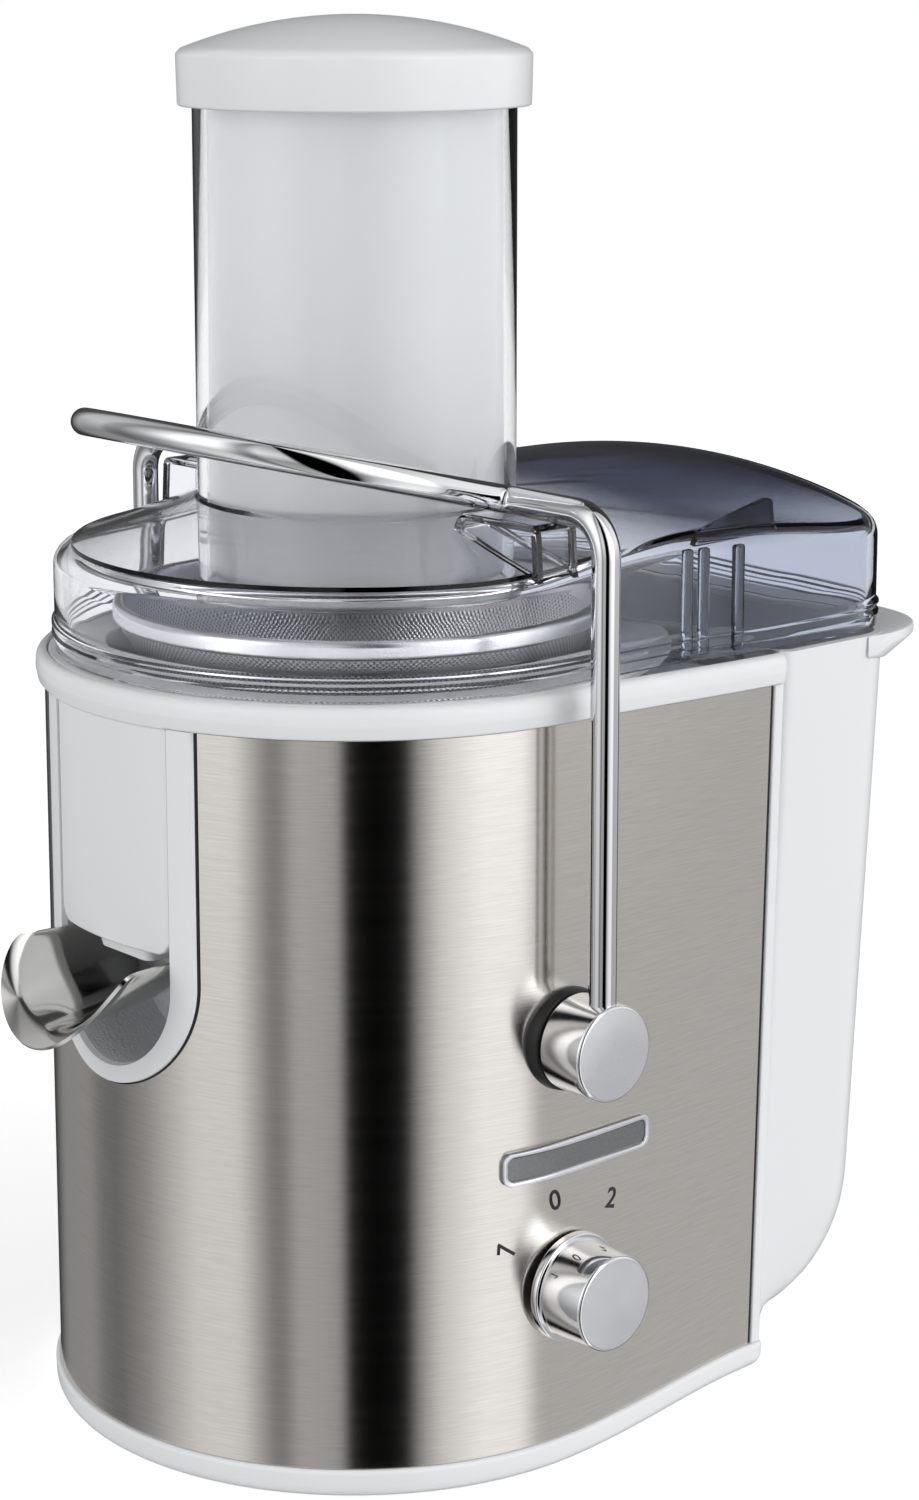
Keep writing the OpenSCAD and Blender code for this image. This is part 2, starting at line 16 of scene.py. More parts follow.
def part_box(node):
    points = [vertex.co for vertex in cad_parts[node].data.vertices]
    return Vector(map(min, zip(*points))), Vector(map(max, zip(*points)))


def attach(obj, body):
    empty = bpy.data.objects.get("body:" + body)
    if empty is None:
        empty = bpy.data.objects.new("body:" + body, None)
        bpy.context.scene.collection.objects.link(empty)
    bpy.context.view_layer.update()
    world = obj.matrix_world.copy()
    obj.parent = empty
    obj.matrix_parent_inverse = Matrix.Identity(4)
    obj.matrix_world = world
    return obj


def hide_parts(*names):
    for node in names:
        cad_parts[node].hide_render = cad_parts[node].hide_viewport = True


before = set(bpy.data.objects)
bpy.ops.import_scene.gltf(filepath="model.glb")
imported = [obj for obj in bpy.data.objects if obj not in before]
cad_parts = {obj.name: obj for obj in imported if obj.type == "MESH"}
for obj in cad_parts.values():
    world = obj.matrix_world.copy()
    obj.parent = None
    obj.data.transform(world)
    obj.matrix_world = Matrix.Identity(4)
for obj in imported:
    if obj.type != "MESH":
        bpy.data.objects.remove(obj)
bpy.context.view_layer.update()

# %% [markdown]
# ## Measuring the frame
# Positions come from the model's own boxes, so that the skin fits the works. The drive axis is
# the middle of the feed tube, and each helper below gives millimetres from that axis.

# %% Sizes read from the model
MM = 0.001


def box_mm(node):
    """Lowest and highest corner of a CAD node, in millimetres from the drive axis."""
    low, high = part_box(node)
    return (Vector(low) / MM - AXIS, Vector(high) / MM - AXIS)


AXIS = Vector((0, 0, 0))
tube_box = box_mm("feed_tube")
AXIS = Vector((0, (tube_box[0].y + tube_box[1].y) / 2, 0))
tube_box = box_mm("feed_tube")
skin_box = box_mm("steel_skin")
lid_box = box_mm("lid")
bin_box = box_mm("pulp_bin")
cap_box = box_mm("pusher_cap")
rim_box = box_mm("basket_rim")
collar_box = box_mm("collar")
body_r = -skin_box[0].y
skin_low = skin_box[0].z
skin_high = skin_box[1].z
collar_high = collar_box[1].z
tube_r = tube_box[1].x
lid_r = -lid_box[0].y
print("body radius", round(body_r, 2), "tube radius", round(tube_r, 2), "lid radius", round(lid_r, 2))

# %% Values that shape the body's leaning sides
rear_half = {"low": 72.0, "high": 84.0}
rear_depth = {"low": 78.0, "high": 70.0}


def between(pair, z):
    """A value that runs evenly from the foot of the wrap to the top of the collar."""
    share = (z - skin_low) / (collar_high - skin_low)
    return pair["low"] + (pair["high"] - pair["low"]) * share


def side_x(y, z):
    """Half width of the body at a distance y behind the drive axis, in a soft S-curve."""
    t = max(0.0, y / between(rear_depth, z))
    soft = t * t * (3 - 2 * t) if t < 1 else 1.0
    return body_r + (between(rear_half, z) - body_r) * soft


# %% [markdown]
# ## Helpers for shapes
# Most mouldings are a wall section carried round something. A turned part spins its section
# about an axis. A lofted part draws its first ring and extrudes it from ring to ring. Corners
# get true fillets in the section itself, which costs no modifier and keeps every edge in place.


# %% Fillets in a section
def filleted(corners, steps=6):
    """Rounds the corners of an open outline. Each corner is (a, b) or (a, b, radius)."""
    points = []
    for i, corner in enumerate(corners):
        here = Vector(corner[:2])
        radius = corner[2] if len(corner) > 2 else 0
        if radius == 0 or i in (0, len(corners) - 1):
            points.append(here)
            continue
        before = (Vector(corners[i - 1][:2]) - here).normalized()
        after = (Vector(corners[i + 1][:2]) - here).normalized()
        half = before.angle(after) / 2
        reach = radius / math.tan(half)
        centre = here + (before + after).normalized() * radius / math.sin(half)
        start = here + before * reach - centre
        end = here + after * reach - centre
        turn = start.angle(end)
        for k in range(steps + 1):
            t = k / steps
            mix = math.sin((1 - t) * turn) * start + math.sin(t * turn) * end
            points.append(centre + mix / math.sin(turn))
    return [(p.x, p.y) for p in points]


# %% Turned shapes
def turned(section, angle=2 * math.pi, start=0.0, steps=96, closed=False, cap=False):
    """Spins a section of (radius, height) points about the drive axis."""
    bm = bmesh.new()
    swing = Matrix.Rotation(start, 3, "Z")
    verts = [bm.verts.new(swing @ Vector((r, 0, z))) for r, z in section]
    edges = [bm.edges.new(pair) for pair in zip(verts, verts[1:])]
    if closed:
        edges.append(bm.edges.new((verts[-1], verts[0])))
    full = abs(angle - 2 * math.pi) < 1e-6
    bmesh.ops.spin(bm, geom=verts + edges, cent=(0, 0, 0), axis=(0, 0, 1), angle=angle,
                   steps=steps, use_merge=full)
    bmesh.ops.remove_doubles(bm, verts=bm.verts, dist=1e-4)
    if cap:
        bmesh.ops.holes_fill(bm, edges=[e for e in bm.edges if e.is_boundary], sides=0)
    bmesh.ops.recalc_face_normals(bm, faces=bm.faces)
    return bm


# %% Lofted shapes
def lofted(rings, loop=True, caps=(), closed=False):
    """Draws the first ring of points and extrudes it through the others, in their order."""
    bm = bmesh.new()
    order = bm.verts.layers.int.new("order")
    verts = [bm.verts.new(p) for p in rings[0]]
    for i, v in enumerate(verts):
        v[order] = i
    edges = [bm.edges.new(pair) for pair in zip(verts, verts[1:])]
    if loop:
        edges.append(bm.edges.new((verts[-1], verts[0])))
    ends = [edges]
    for ring in rings[1:]:
        made = bmesh.ops.extrude_edge_only(bm, edges=edges)["geom"]
        fresh = {g for g in made if isinstance(g, bmesh.types.BMVert)}
        edges = [g for g in made if isinstance(g, bmesh.types.BMEdge)
                 and g.verts[0] in fresh and g.verts[1] in fresh]
        for v in fresh:
            v.co = ring[v[order]]
    ends.append(edges)
    if closed:
        bmesh.ops.bridge_loops(bm, edges=ends[0] + ends[1])
    for cap in caps:
        bmesh.ops.contextual_create(bm, geom=ends[cap])
    bmesh.ops.recalc_face_normals(bm, faces=bm.faces)
    return bm


# %% Swept wires
def wire_rings(path, radius, sides=24):
    """Circles along a path in space, each square to the path."""
    rings = []
    points = [Vector(p) for p in path]
    side = None
    for i, p in enumerate(points):
        ahead = (points[min(i + 1, len(points) - 1)] - points[max(i - 1, 0)]).normalized()
        if side is None:
            side = ahead.orthogonal().normalized()
        side = (side - ahead * side.dot(ahead)).normalized()
        up = ahead.cross(side)
        rings.append([p + radius * (math.cos(a) * side + math.sin(a) * up)
                      for a in (2 * math.pi * k / sides for k in range(sides))])
    return rings


def arc(centre, radius, first, last, steps, place):
    """Points of an arc in a plane. place turns (a, b) in that plane into a point in space."""
    return [place(centre[0] + radius * math.cos(t), centre[1] + radius * math.sin(t))
            for t in (first + (last - first) * k / steps for k in range(steps + 1))]


# %% From millimetres to a finished piece
def piece(name, bm, body, material, stands_for=(), thickness=0.0, sharp=38):
    """Turns a bmesh in millimetres into a piece in metres that rides on a body."""
    if thickness:
        bmesh.ops.solidify(bm, geom=bm.faces[:], thickness=thickness)
    bmesh.ops.translate(bm, verts=bm.verts, vec=AXIS)
    bmesh.ops.scale(bm, verts=bm.verts, vec=(MM, MM, MM))
    mesh = bpy.data.meshes.new(name)
    bm.to_mesh(mesh)
    bm.free()
    mesh.materials.append(material)
    mesh.shade_smooth()
    mesh.set_sharp_from_angle(angle=math.radians(sharp))
    made = bpy.data.objects.new(name, mesh)
    bpy.context.scene.collection.objects.link(made)
    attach(made, body)
    if stands_for:
        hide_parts(*stands_for)
    spans = [sorted(v.co[k] for v in mesh.vertices) for k in range(3)]
    span_text = ", ".join(f"{c[0] / MM:.1f}..{c[-1] / MM:.1f}" for c in spans)
    print(f"{name}: {len(mesh.polygons)} faces, {span_text} mm")
    return made


def join_into(target, *others):
    """Adds the geometry of other bmeshes to the first."""
    for other in others:
        spare = bpy.data.meshes.new("spare")
        other.to_mesh(spare)
        other.free()
        target.from_mesh(spare)
        bpy.data.meshes.remove(spare)
    return target


def face_towards(bm, way):
    """Turns the faces of an open sheet over if they look away from a direction."""
    if sum(f.normal.dot(way) for f in bm.faces) < 0:
        bmesh.ops.reverse_faces(bm, faces=bm.faces)


def along_x(bm, x, y, z, side=1):
    """Lays a turned shape over so that its axis points along +X, or along -X for side -1."""
    quarter = Matrix.Rotation(side * math.pi / 2, 3, "Y")
    bmesh.ops.rotate(bm, verts=bm.verts, cent=(0, 0, 0), matrix=quarter)
    bmesh.ops.translate(bm, verts=bm.verts, vec=(side * x, y, z))
    return bm


# %% [markdown]
# ## Finishes
# Each finish starts from the Principled shader, and noise in Object coordinates gives it the
# small unevenness of the real thing: grain in brushed steel, a faint orange peel in moulded
# plastic, smudges on chrome. Object coordinates are in metres here, so a Mapping scale of 1000
# makes features a millimetre across.


# %% A base for every finish
def finish(name, colour, roughness, metallic=0.0, **sockets):
    """A Principled material, its node tree and its shader."""
    material = bpy.data.materials.new(name)
    material.use_nodes = True
    tree = material.node_tree
    shader = tree.nodes["Principled BSDF"]
    shader.inputs["Base Color"].default_value = (*colour, 1)
    shader.inputs["Roughness"].default_value = roughness
    shader.inputs["Metallic"].default_value = metallic
    for socket, value in sockets.items():
        shader.inputs[socket.replace("_", " ")].default_value = value
    return material, tree, shader


def grain(tree, scale, detail=3.0):
    """A noise texture on Object coordinates, stretched by the scale along each axis."""
    where = tree.nodes.new("ShaderNodeTexCoord")
    stretch = tree.nodes.new("ShaderNodeMapping")
    stretch.inputs["Scale"].default_value = scale
    noise = tree.nodes.new("ShaderNodeTexNoise")
    noise.inputs["Scale"].default_value = 1.0
    noise.inputs["Detail"].default_value = detail
    tree.links.new(where.outputs["Object"], stretch.inputs["Vector"])
    tree.links.new(stretch.outputs["Vector"], noise.inputs["Vector"])
    return noise


def bump(tree, shader, source, height, depth=0.001):
    """Raises the surface a little where the source is bright."""
    node = tree.nodes.new("ShaderNodeBump")
    node.inputs["Strength"].default_value = height
    node.inputs["Distance"].default_value = depth
    tree.links.new(source, node.inputs["Height"])
    tree.links.new(node.outputs["Normal"], shader.inputs["Normal"])


def ranged(tree, source, low, high, target):
    """Sends a 0 to 1 signal to a socket as low to high."""
    node = tree.nodes.new("ShaderNodeMapRange")
    node.inputs["From Min"].default_value = 0.3
    node.inputs["From Max"].default_value = 0.7
    node.inputs["To Min"].default_value = low
    node.inputs["To Max"].default_value = high
    tree.links.new(source, node.inputs["Value"])
    tree.links.new(node.outputs["Result"], target)


def tinted(tree, shader, source, dark, light):
    """Blends two colours by a 0 to 1 signal into the base colour."""
    mix = tree.nodes.new("ShaderNodeMix")
    mix.data_type = "RGBA"
    mix.inputs["A"].default_value = (*dark, 1)
    mix.inputs["B"].default_value = (*light, 1)
    tree.links.new(source, mix.inputs["Factor"])
    tree.links.new(mix.outputs["Result"], shader.inputs["Base Color"])


# %% [markdown]
# ### White mouldings
# Housing, collar, bin, pusher and cap are moulded ABS: satin white with a faint orange peel.
# A light coat gives the soft gloss without turning it to porcelain.


# %% White plastic
def make_white(name="white_abs", colour=(0.95, 0.965, 0.97), roughness=0.3):
    material, tree, shader = finish(name, colour, roughness, Coat_Weight=0.15, Coat_Roughness=0.1)
    cloud = grain(tree, (18, 18, 18), 1.0)
    tinted(tree, shader, cloud.outputs["Fac"], [c * 0.99 for c in colour], colour)
    ranged(tree, cloud.outputs["Fac"], roughness - 0.01, roughness + 0.02, shader.inputs["Roughness"])
    bump(tree, shader, grain(tree, (1500, 1500, 1500), 1.0).outputs["Fac"], 0.03, 0.0002)
    return material


white = make_white()


# %% Grained grey plastic behind the spout
def make_grained():
    colour = (0.8, 0.82, 0.84)
    material, tree, shader = finish("grained_grey", colour, 0.5)
    leather = grain(tree, (1100, 1100, 1100), 2.0)
    tinted(tree, shader, leather.outputs["Fac"], (0.72, 0.745, 0.765), (0.88, 0.9, 0.915))
    bump(tree, shader, leather.outputs["Fac"], 0.7, 0.0006)
    return material


grained = make_grained()

# %% [markdown]
# ### Brushed steel
# The wrap is brushed along its length, so the scratches run level round the body. Noise that is
# stretched 25 to 40 times along the scratches drives colour, roughness and bump. The tangent
# round the drive axis smears reflections up and down, which is what turns studio lights
# into the tall soft bands that brushed steel shows.


# %% Brushed steel
def make_brushed():
    material, tree, shader = finish("brushed_steel", (0.8, 0.76, 0.71), 0.24, 1.0,
                                    Anisotropic=0.8, Anisotropic_Rotation=0.25)
    fine = grain(tree, (110, 110, 4200), 3.0)
    broad = grain(tree, (20, 20, 500), 1.0)
    tinted(tree, shader, fine.outputs["Fac"], (0.7, 0.665, 0.62), (0.9, 0.86, 0.81))
    ranged(tree, broad.outputs["Fac"], 0.165, 0.185, shader.inputs["Roughness"])
    bump(tree, shader, fine.outputs["Fac"], 0.05, 0.0002)
    level = tree.nodes.new("ShaderNodeTangent")
    level.direction_type = "RADIAL"
    level.axis = "Z"
    tree.links.new(level.outputs["Tangent"], shader.inputs["Tangent"])
    return material


brushed = make_brushed()


# %% Chrome and polished steel
def make_polished(name, colour, roughness, wave=0.02):
    material, tree, shader = finish(name, colour, roughness, 1.0)
    smudge = grain(tree, (45, 45, 45), 4.0)
    ranged(tree, smudge.outputs["Fac"], roughness, roughness * 1.8 + 0.01, shader.inputs["Roughness"])
    bump(tree, shader, grain(tree, (120, 120, 120), 1.0).outputs["Fac"], wave, 0.0003)
    return material


chrome = make_polished("chrome", (0.8, 0.8, 0.81), 0.035, 0.01)
satin_face = make_polished("satin_chrome", (0.93, 0.93, 0.96), 0.22, 0.01)
polished = make_polished("polished_steel", (0.7, 0.69, 0.67), 0.07, 0.05)

# %% [markdown]
# ### Clear plastic
# Lid and feed tube are clear SAN. They are modelled as walls of real thickness, so the light
# bends at both faces and the rims darken by themselves. Over the bin the colour darkens towards
# the back, and most of all on the hood's roof: painted shade that stands for the shaded bin below.


# %% Clear plastic
def make_clear(name, front, rear, roof, roughness=0.02, ior=1.35):
    material, tree, shader = finish(name, front, roughness, IOR=ior, Transmission_Weight=1.0)
    where = tree.nodes.new("ShaderNodeTexCoord")
    split = tree.nodes.new("ShaderNodeSeparateXYZ")
    tree.links.new(where.outputs["Object"], split.inputs["Vector"])

    def step(axis, low, high):
        node = tree.nodes.new("ShaderNodeMapRange")
        node.interpolation_type = "SMOOTHSTEP"
        node.inputs["From Min"].default_value = low * MM
        node.inputs["From Max"].default_value = high * MM
        tree.links.new(split.outputs[axis], node.inputs["Value"])
        return node.outputs["Result"]

    def blended(share, first, second):
        node = tree.nodes.new("ShaderNodeMix")
        node.data_type = "RGBA"
        tree.links.new(share, node.inputs["Factor"])
        for name, value in (("A", first), ("B", second)):
            if isinstance(value, tuple):
                node.inputs[name].default_value = (*value, 1)
            else:
                tree.links.new(value, node.inputs[name])
        return node.outputs["Result"]

    # Painted shade: the colour darkens towards the back and is darkest on the roof, for the shaded bin
    # under the hood.
    hood_shade = blended(step("Z", 225, 234), rear, roof)
    tint_and_painted_shade = blended(step("Y", AXIS.y + 12, AXIS.y + 62), front, hood_shade)
    tree.links.new(tint_and_painted_shade, shader.inputs["Base Color"])
    bump(tree, shader, grain(tree, (70, 70, 70), 1.0).outputs["Fac"], 0.03, 0.0004)
    return material


# The rear and roof colours are painted shade for the shaded bin under the hood.
clear = make_clear("clear_san", (0.955, 0.96, 0.985), (0.68, 0.71, 0.79), (0.09, 0.1, 0.155))
tube_tint = (0.98, 0.984, 0.996)
clear_tube = make_clear("clear_tube", tube_tint, tube_tint, tube_tint)


# %% Small and inner finishes
def make_plain(name, colour, roughness, metallic=0.0, scale=(400, 400, 400), relief=0.2, spread=0.12):
    material, tree, shader = finish(name, colour, roughness, metallic)
    texture = grain(tree, scale)
    tinted(tree, shader, texture.outputs["Fac"], [c * (1 - spread) for c in colour],
           [min(1, c * (1 + spread)) for c in colour])
    bump(tree, shader, texture.outputs["Fac"], relief, 0.0003)
    return material


rubber = make_plain("rubber", (0.008, 0.008, 0.009), 0.5)
dark_plastic = make_plain("dark_plastic", (0.03, 0.03, 0.033), 0.4, relief=0.1)
copper = make_plain("wound_copper", (0.72, 0.33, 0.14), 0.3, 1.0, (60, 60, 2200), 0.8, 0.3)
laminated = make_plain("laminated_steel", (0.3, 0.3, 0.31), 0.4, 1.0, (20, 20, 2000), 0.7, 0.3)
bronze = make_plain("sintered_bronze", (0.55, 0.4, 0.2), 0.4, 1.0, (1500, 1500, 1500), 0.3)
cast = make_plain("cast_aluminium", (0.62, 0.63, 0.64), 0.45, 1.0, (700, 700, 700), 0.4)
carbon = make_plain("brush_carbon", (0.03, 0.03, 0.03), 0.5, 0.2)
nylon = make_plain("nylon", (0.78, 0.78, 0.74), 0.45, relief=0.08, spread=0.04)
badge_grey = make_plain("badge_grey", (0.24, 0.245, 0.25), 0.38, 0.7, (1600, 1600, 1600), 0.35, 0.25)
ink = make_plain("printed_ink", (0.02, 0.02, 0.022), 0.5, relief=0.05)

# %% [markdown]
# ### The sieve
# The basket is etched sheet with thousands of holes. Holes that small read as a fine dotted
# sheen, so they are drawn in the finish: rows of dark dots that follow the height and the angle
# round the axis.


# %% Sieve sheet
def make_sieve():
    material, tree, shader = finish("sieve_sheet", (0.66, 0.66, 0.67), 0.28, 1.0)
    where = tree.nodes.new("ShaderNodeTexCoord")
    split = tree.nodes.new("ShaderNodeSeparateXYZ")
    centre = tree.nodes.new("ShaderNodeMapping")
    centre.inputs["Location"].default_value = (0, -AXIS.y * MM, 0)
    tree.links.new(where.outputs["Object"], centre.inputs["Vector"])
    tree.links.new(centre.outputs["Vector"], split.inputs["Vector"])

    def calculate(kind, *values):
        node = tree.nodes.new("ShaderNodeMath")
        node.operation = kind
        for socket, value in zip(node.inputs, values):
            if isinstance(value, (int, float)):
                socket.default_value = value
            else:
                tree.links.new(value, socket)
        return node.outputs[0]

    angle = calculate("ARCTAN2", split.outputs["Y"], split.outputs["X"])
    across = calculate("SINE", calculate("MULTIPLY", angle, 260))
    upward = calculate("SINE", calculate("MULTIPLY", split.outputs["Z"], 4200))
    dots = calculate("MULTIPLY", across, upward)
    hole = calculate("GREATER_THAN", dots, 0.25)
    tinted(tree, shader, hole, (0.88, 0.88, 0.89), (0.45, 0.45, 0.47))
    bump(tree, shader, dots, 0.3, 0.0002)
    return material


sieve = make_sieve()

# %% [markdown]
# ## The works inside
# Motor, bearings, switches and drive keep their CAD shapes, because they are right as they are.
# Each gets its finish by its name.

# %% Finishes for the carried-over nodes
node_finish = {
    rubber: ["feet", "motor_mounts", "shaft_seal"],
    chrome: ["base_screws", "motor_screws", "motor_shaft", "knob_shaft", "pivot_pins"],
    dark_plastic: ["cord_gland", "brush_holders", "rotary_switch", "safety_switch", "pivot_clips"],
    copper: ["stator_windings", "rotor_windings", "commutator"],
    laminated: ["stator_core", "rotor_core"],
    bronze: ["bearing_top", "bearing_bottom"],
    cast: ["bracket_top", "bracket_bottom"],
    carbon: ["carbon_brushes"],
    nylon: ["pivot_bushes", "fan", "drive_coupling", "lock_cam", "safety_plunger"],
    white: ["basket_hub", "motor_deck", "top_deck", "bowl_floor"],
    polished: ["grater_disc"],
}
for material, nodes in node_finish.items():
    for node in nodes:
        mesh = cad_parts[node].data
        mesh.materials.clear()
        mesh.materials.append(material)
print(sum(len(nodes) for nodes in node_finish.values()), "CAD nodes keep their shape")

# %% [markdown]
# ## The outline of the body
# From above, the body is a half circle in front with two sides that run back in a gentle
# S-curve. One function walks round it and gives evenly spaced points at any height and any
# offset, so that the wrap, the base, the collar and the rear strips all follow the same line.


# %% Walking round the body
def round_body(z, out=0.0, back=0.0, front_steps=144, side_steps=18, rear_steps=0, corner=3.0):
    """Points from the left rear corner round the front to the right rear corner."""
    depth = between(rear_depth, z) + back
    straight = depth - (corner if rear_steps else 0)
    left, front, right = [], [], []
    for k in range(side_steps):
        y = straight * (1 - k / side_steps)
        left.append(Vector((-side_x(y, z) - out, y, z)))
        right.insert(0, Vector((side_x(y, z) + out, y, z)))
    for k in range(front_steps + 1):
        t = math.pi + math.pi * k / front_steps
        front.append(Vector(((body_r + out) * math.cos(t), (body_r + out) * math.sin(t), z)))
    points = left + front + right
    if rear_steps:
        x = side_x(straight, z) + out - corner
        turn = [math.pi / 2 * k / 6 for k in range(1, 7)]
        points += [Vector((x + corner * math.cos(t), straight + corner * math.sin(t), z)) for t in turn]
        points += [Vector((x * (1 - 2 * k / rear_steps), depth, z)) for k in range(1, rear_steps)]
        points += [Vector((-x - corner * math.sin(t), straight + corner * math.cos(t), z))
                   for t in [0] + turn[:-1]]
    return points


# %% [markdown]
# ## Base
# The base is a white tray with a rounded lower edge. It stands on rubber feet, and its floor has
# slots for the motor's air. The ring is a loft round the body, closed by a floor.

# %% Base tray
tray_low = box_mm("base_tray")[0].z
skin_foot = tray_low + 7.4
edge = filleted([(-9, 4.5), (-3.2, 4.5), (-3.2, skin_low), (-1.0, skin_low), (-1.0, skin_foot),
                 (1.3, skin_foot, 1.0), (1.1, tray_low, 3.6), (-9, tray_low)])
tray = lofted([round_body(z, out, out, rear_steps=24) for out, z in edge], caps=(0, 1))
slot_edges = [x + side for x in range(-30, 31, 10) for side in (-2, 2)]
cuts = [((x, 0, 0), (1, 0, 0)) for x in slot_edges] + [((0, y, 0), (0, 1, 0)) for y in (-20, 20)]
for place, across in cuts:
    flat = [f for f in tray.faces if abs(f.normal.z) > 0.99 and abs(f.calc_center_median().x) < 50
            and abs(f.calc_center_median().y) < 70]
    parts = {v for f in flat for v in f.verts} | {e for f in flat for e in f.edges} | set(flat)
    bmesh.ops.bisect_plane(tray, geom=list(parts), plane_co=place, plane_no=across)


def in_slot(f):
    c = f.calc_center_median()
    return abs(f.normal.z) > 0.99 and abs(c.y) < 19 and abs(c.x) < 32 and abs((c.x + 5) % 10 - 5) < 2


bmesh.ops.delete(tray, geom=[f for f in tray.faces if in_slot(f)], context="FACES")
rims = [e for e in tray.edges if e.is_boundary]
bmesh.ops.bridge_loops(tray, edges=rims, use_pairs=True)
shelf = box_mm("base_tray")[1]
shelf_front = between(rear_depth, 8) - 2
ledge = bmesh.new()
bmesh.ops.create_cube(ledge, size=1.0)
bmesh.ops.scale(ledge, verts=ledge.verts, vec=(90, shelf.y - shelf_front, 6.4))
bmesh.ops.translate(ledge, verts=ledge.verts, vec=(0, (shelf.y + shelf_front) / 2, shelf.z - 8.2))
bmesh.ops.bevel(ledge, geom=ledge.edges[:], offset=1.5, segments=3, affect="EDGES", profile=0.5,
                material=-1)
piece("base_ring", join_into(tray, ledge), "base", white, ["base_tray"])

# %% [markdown]
# ## Steel wrap
# The wrap is one sheet, bent round the body and stopped short of the rear edge. The arch for the
# spout is cut by leaving out the faces inside it; the white frame covers the cut edge.

# %% Sizes of the spout opening
frame_box = box_mm("spout_frame")
frame_half = frame_box[1].x
frame_low = frame_box[0].z
liner_box = box_mm("recess_liner")
mouth_half = liner_box[1].x - 2.0
mouth_low = liner_box[0].z + 2.0


def in_arch(x, z, half, low):
    """Whether a point of the front lies inside an arch with a round foot."""
    if abs(x) > half or z < low:
        return False
    return z > low + half or math.hypot(x, z - low - half) < half


def open_arch(bm):
    """Leaves out the faces at the front that lie inside the arch."""
    hole = [f for f in bm.faces if f.calc_center_median().y < -40
            and in_arch(f.calc_center_median().x, f.calc_center_median().z, frame_half - 3, frame_low + 3)]
    bmesh.ops.delete(bm, geom=hole, context="FACES")


# %% Steel wrap
rim_gap = 4.6
levels = [skin_foot + 0.2 + (skin_high - skin_foot - 0.4) * k / 74 for k in range(75)]
wrap = lofted([round_body(z, 0, -rim_gap) for z in levels], loop=False)
open_arch(wrap)
outward = sum(f.normal.dot(f.calc_center_median() - Vector((0, 0, f.calc_center_median().z)))
              for f in wrap.faces)
if outward < 0:
    bmesh.ops.reverse_faces(wrap, faces=wrap.faces)
piece("steel_wrap", wrap, "base", brushed, ["steel_skin"], thickness=0.8)

# %% [markdown]
# ## Housing and rear strips
# Behind the steel stands the white housing. What shows of it is the rear wall, a strip at each
# side of it, and the line above the base. A thin dark strip between each strip and the steel is
# painted shade for the shadowed gap there.

# %% Housing shell
shell_rings = [round_body(z, -0.95, 0, rear_steps=24, corner=1.5)
               for z in [skin_low + (skin_high - skin_low) * k / 24 for k in range(25)]]
shell = lofted(shell_rings)
open_arch(shell)
piece("housing_shell", shell, "base", white, ["housing"], thickness=2.2)

# %% Rear strips
for side, name in ((1, "rear_trim_right"), (-1, "rear_trim_left")):
    strip_rings = []
    for k in range(25):
        z = skin_foot + 0.2 + (skin_high - skin_foot - 0.4) * k / 24
        depth = between(rear_depth, z)
        section = filleted([(-0.75, depth - 3.6), (0.45, depth - 3.6, 0.5), (0.45, depth, 1.1),
                            (-0.75, depth)], 4)
        strip_rings.append([Vector((side * (side_x(y, z) + out), y, z)) for out, y in section])
    strip = lofted(strip_rings, caps=(0, 1))
    piece(name, strip, "base", white, ["rear_trims"])

# %% Painted shadow in the gaps beside the strips
for side, name in ((1, "edge_shadow_strip_right"), (-1, "edge_shadow_strip_left")):
    shadow_strip_rings = []
    for k in range(25):
        z = skin_foot + 0.3 + (skin_high - skin_foot - 0.6) * k / 24
        depth = between(rear_depth, z)
        section = [(-0.6, depth - 5.0), (-0.25, depth - 4.4), (-0.25, depth - 3.4), (-0.6, depth - 3.0)]
        shadow_strip_rings.append([Vector((side * (side_x(y, z) + out), y, z)) for out, y in section])
    shadow_strip = lofted(shadow_strip_rings, caps=(0, 1))
    # Rubber-black strips as painted shade for the shadowed gap between strip and steel.
    piece(name, shadow_strip, "base", rubber, ["rear_trims"])

# %% [markdown]
# ## Collar, bowl rim and front panel
# The collar is a rounded white band round the top of the steel. Its front is left open for the
# closing panel, which comes out with the juice bowl and carries the missing piece of the band.

# %% Collar
panel_half = mouth_half - 0.2
band = filleted([(-2.2, skin_high + 0.2), (1.6, skin_high + 0.2, 0.8), (2.2, skin_high + 3.5, 3),
                 (1.9, collar_high, 2.6), (-0.8, collar_high, 0.4), (-0.8, 196.3), (-2.2, 196.3)], 5)
collar = lofted([round_body(z, out, 0, rear_steps=24, corner=2.5) for out, z in band], closed=True)
for x in (-mouth_half, mouth_half):
    bmesh.ops.bisect_plane(collar, geom=collar.verts[:] + collar.edges[:] + collar.faces[:],
                           plane_co=(x, 0, 0), plane_no=(1, 0, 0))
front = [f for f in collar.faces if f.calc_center_median().y < -40
         and abs(f.calc_center_median().x) < mouth_half]
bmesh.ops.delete(collar, geom=front, context="FACES")
bmesh.ops.holes_fill(collar, edges=[e for e in collar.edges if e.is_boundary], sides=0)
piece("collar_band", collar, "base", white, ["collar"])

# %% Juice bowl with its rim
bowl_box = box_mm("juice_bowl")
rim_r = -bowl_box[0].y
bowl_wall = filleted([(65, 147), (65, 196.4, 0.8), (rim_r - 1, 196.4), (rim_r - 1, 197.6, 0.2),
                      (rim_r, 197.6, 0.2), (rim_r, collar_high - 0.1, 0.7), (65, collar_high - 0.1, 0.7),
                      (63.4, 190), (63.4, 147)], 3)
bowl = turned(bowl_wall, closed=True, steps=144)
rear_limit = between(rear_depth, collar_high) - 3
for v in bowl.verts:
    v.co.y = min(v.co.y, rear_limit)
piece("bowl_with_rim", bowl, "base", white, ["juice_bowl"])

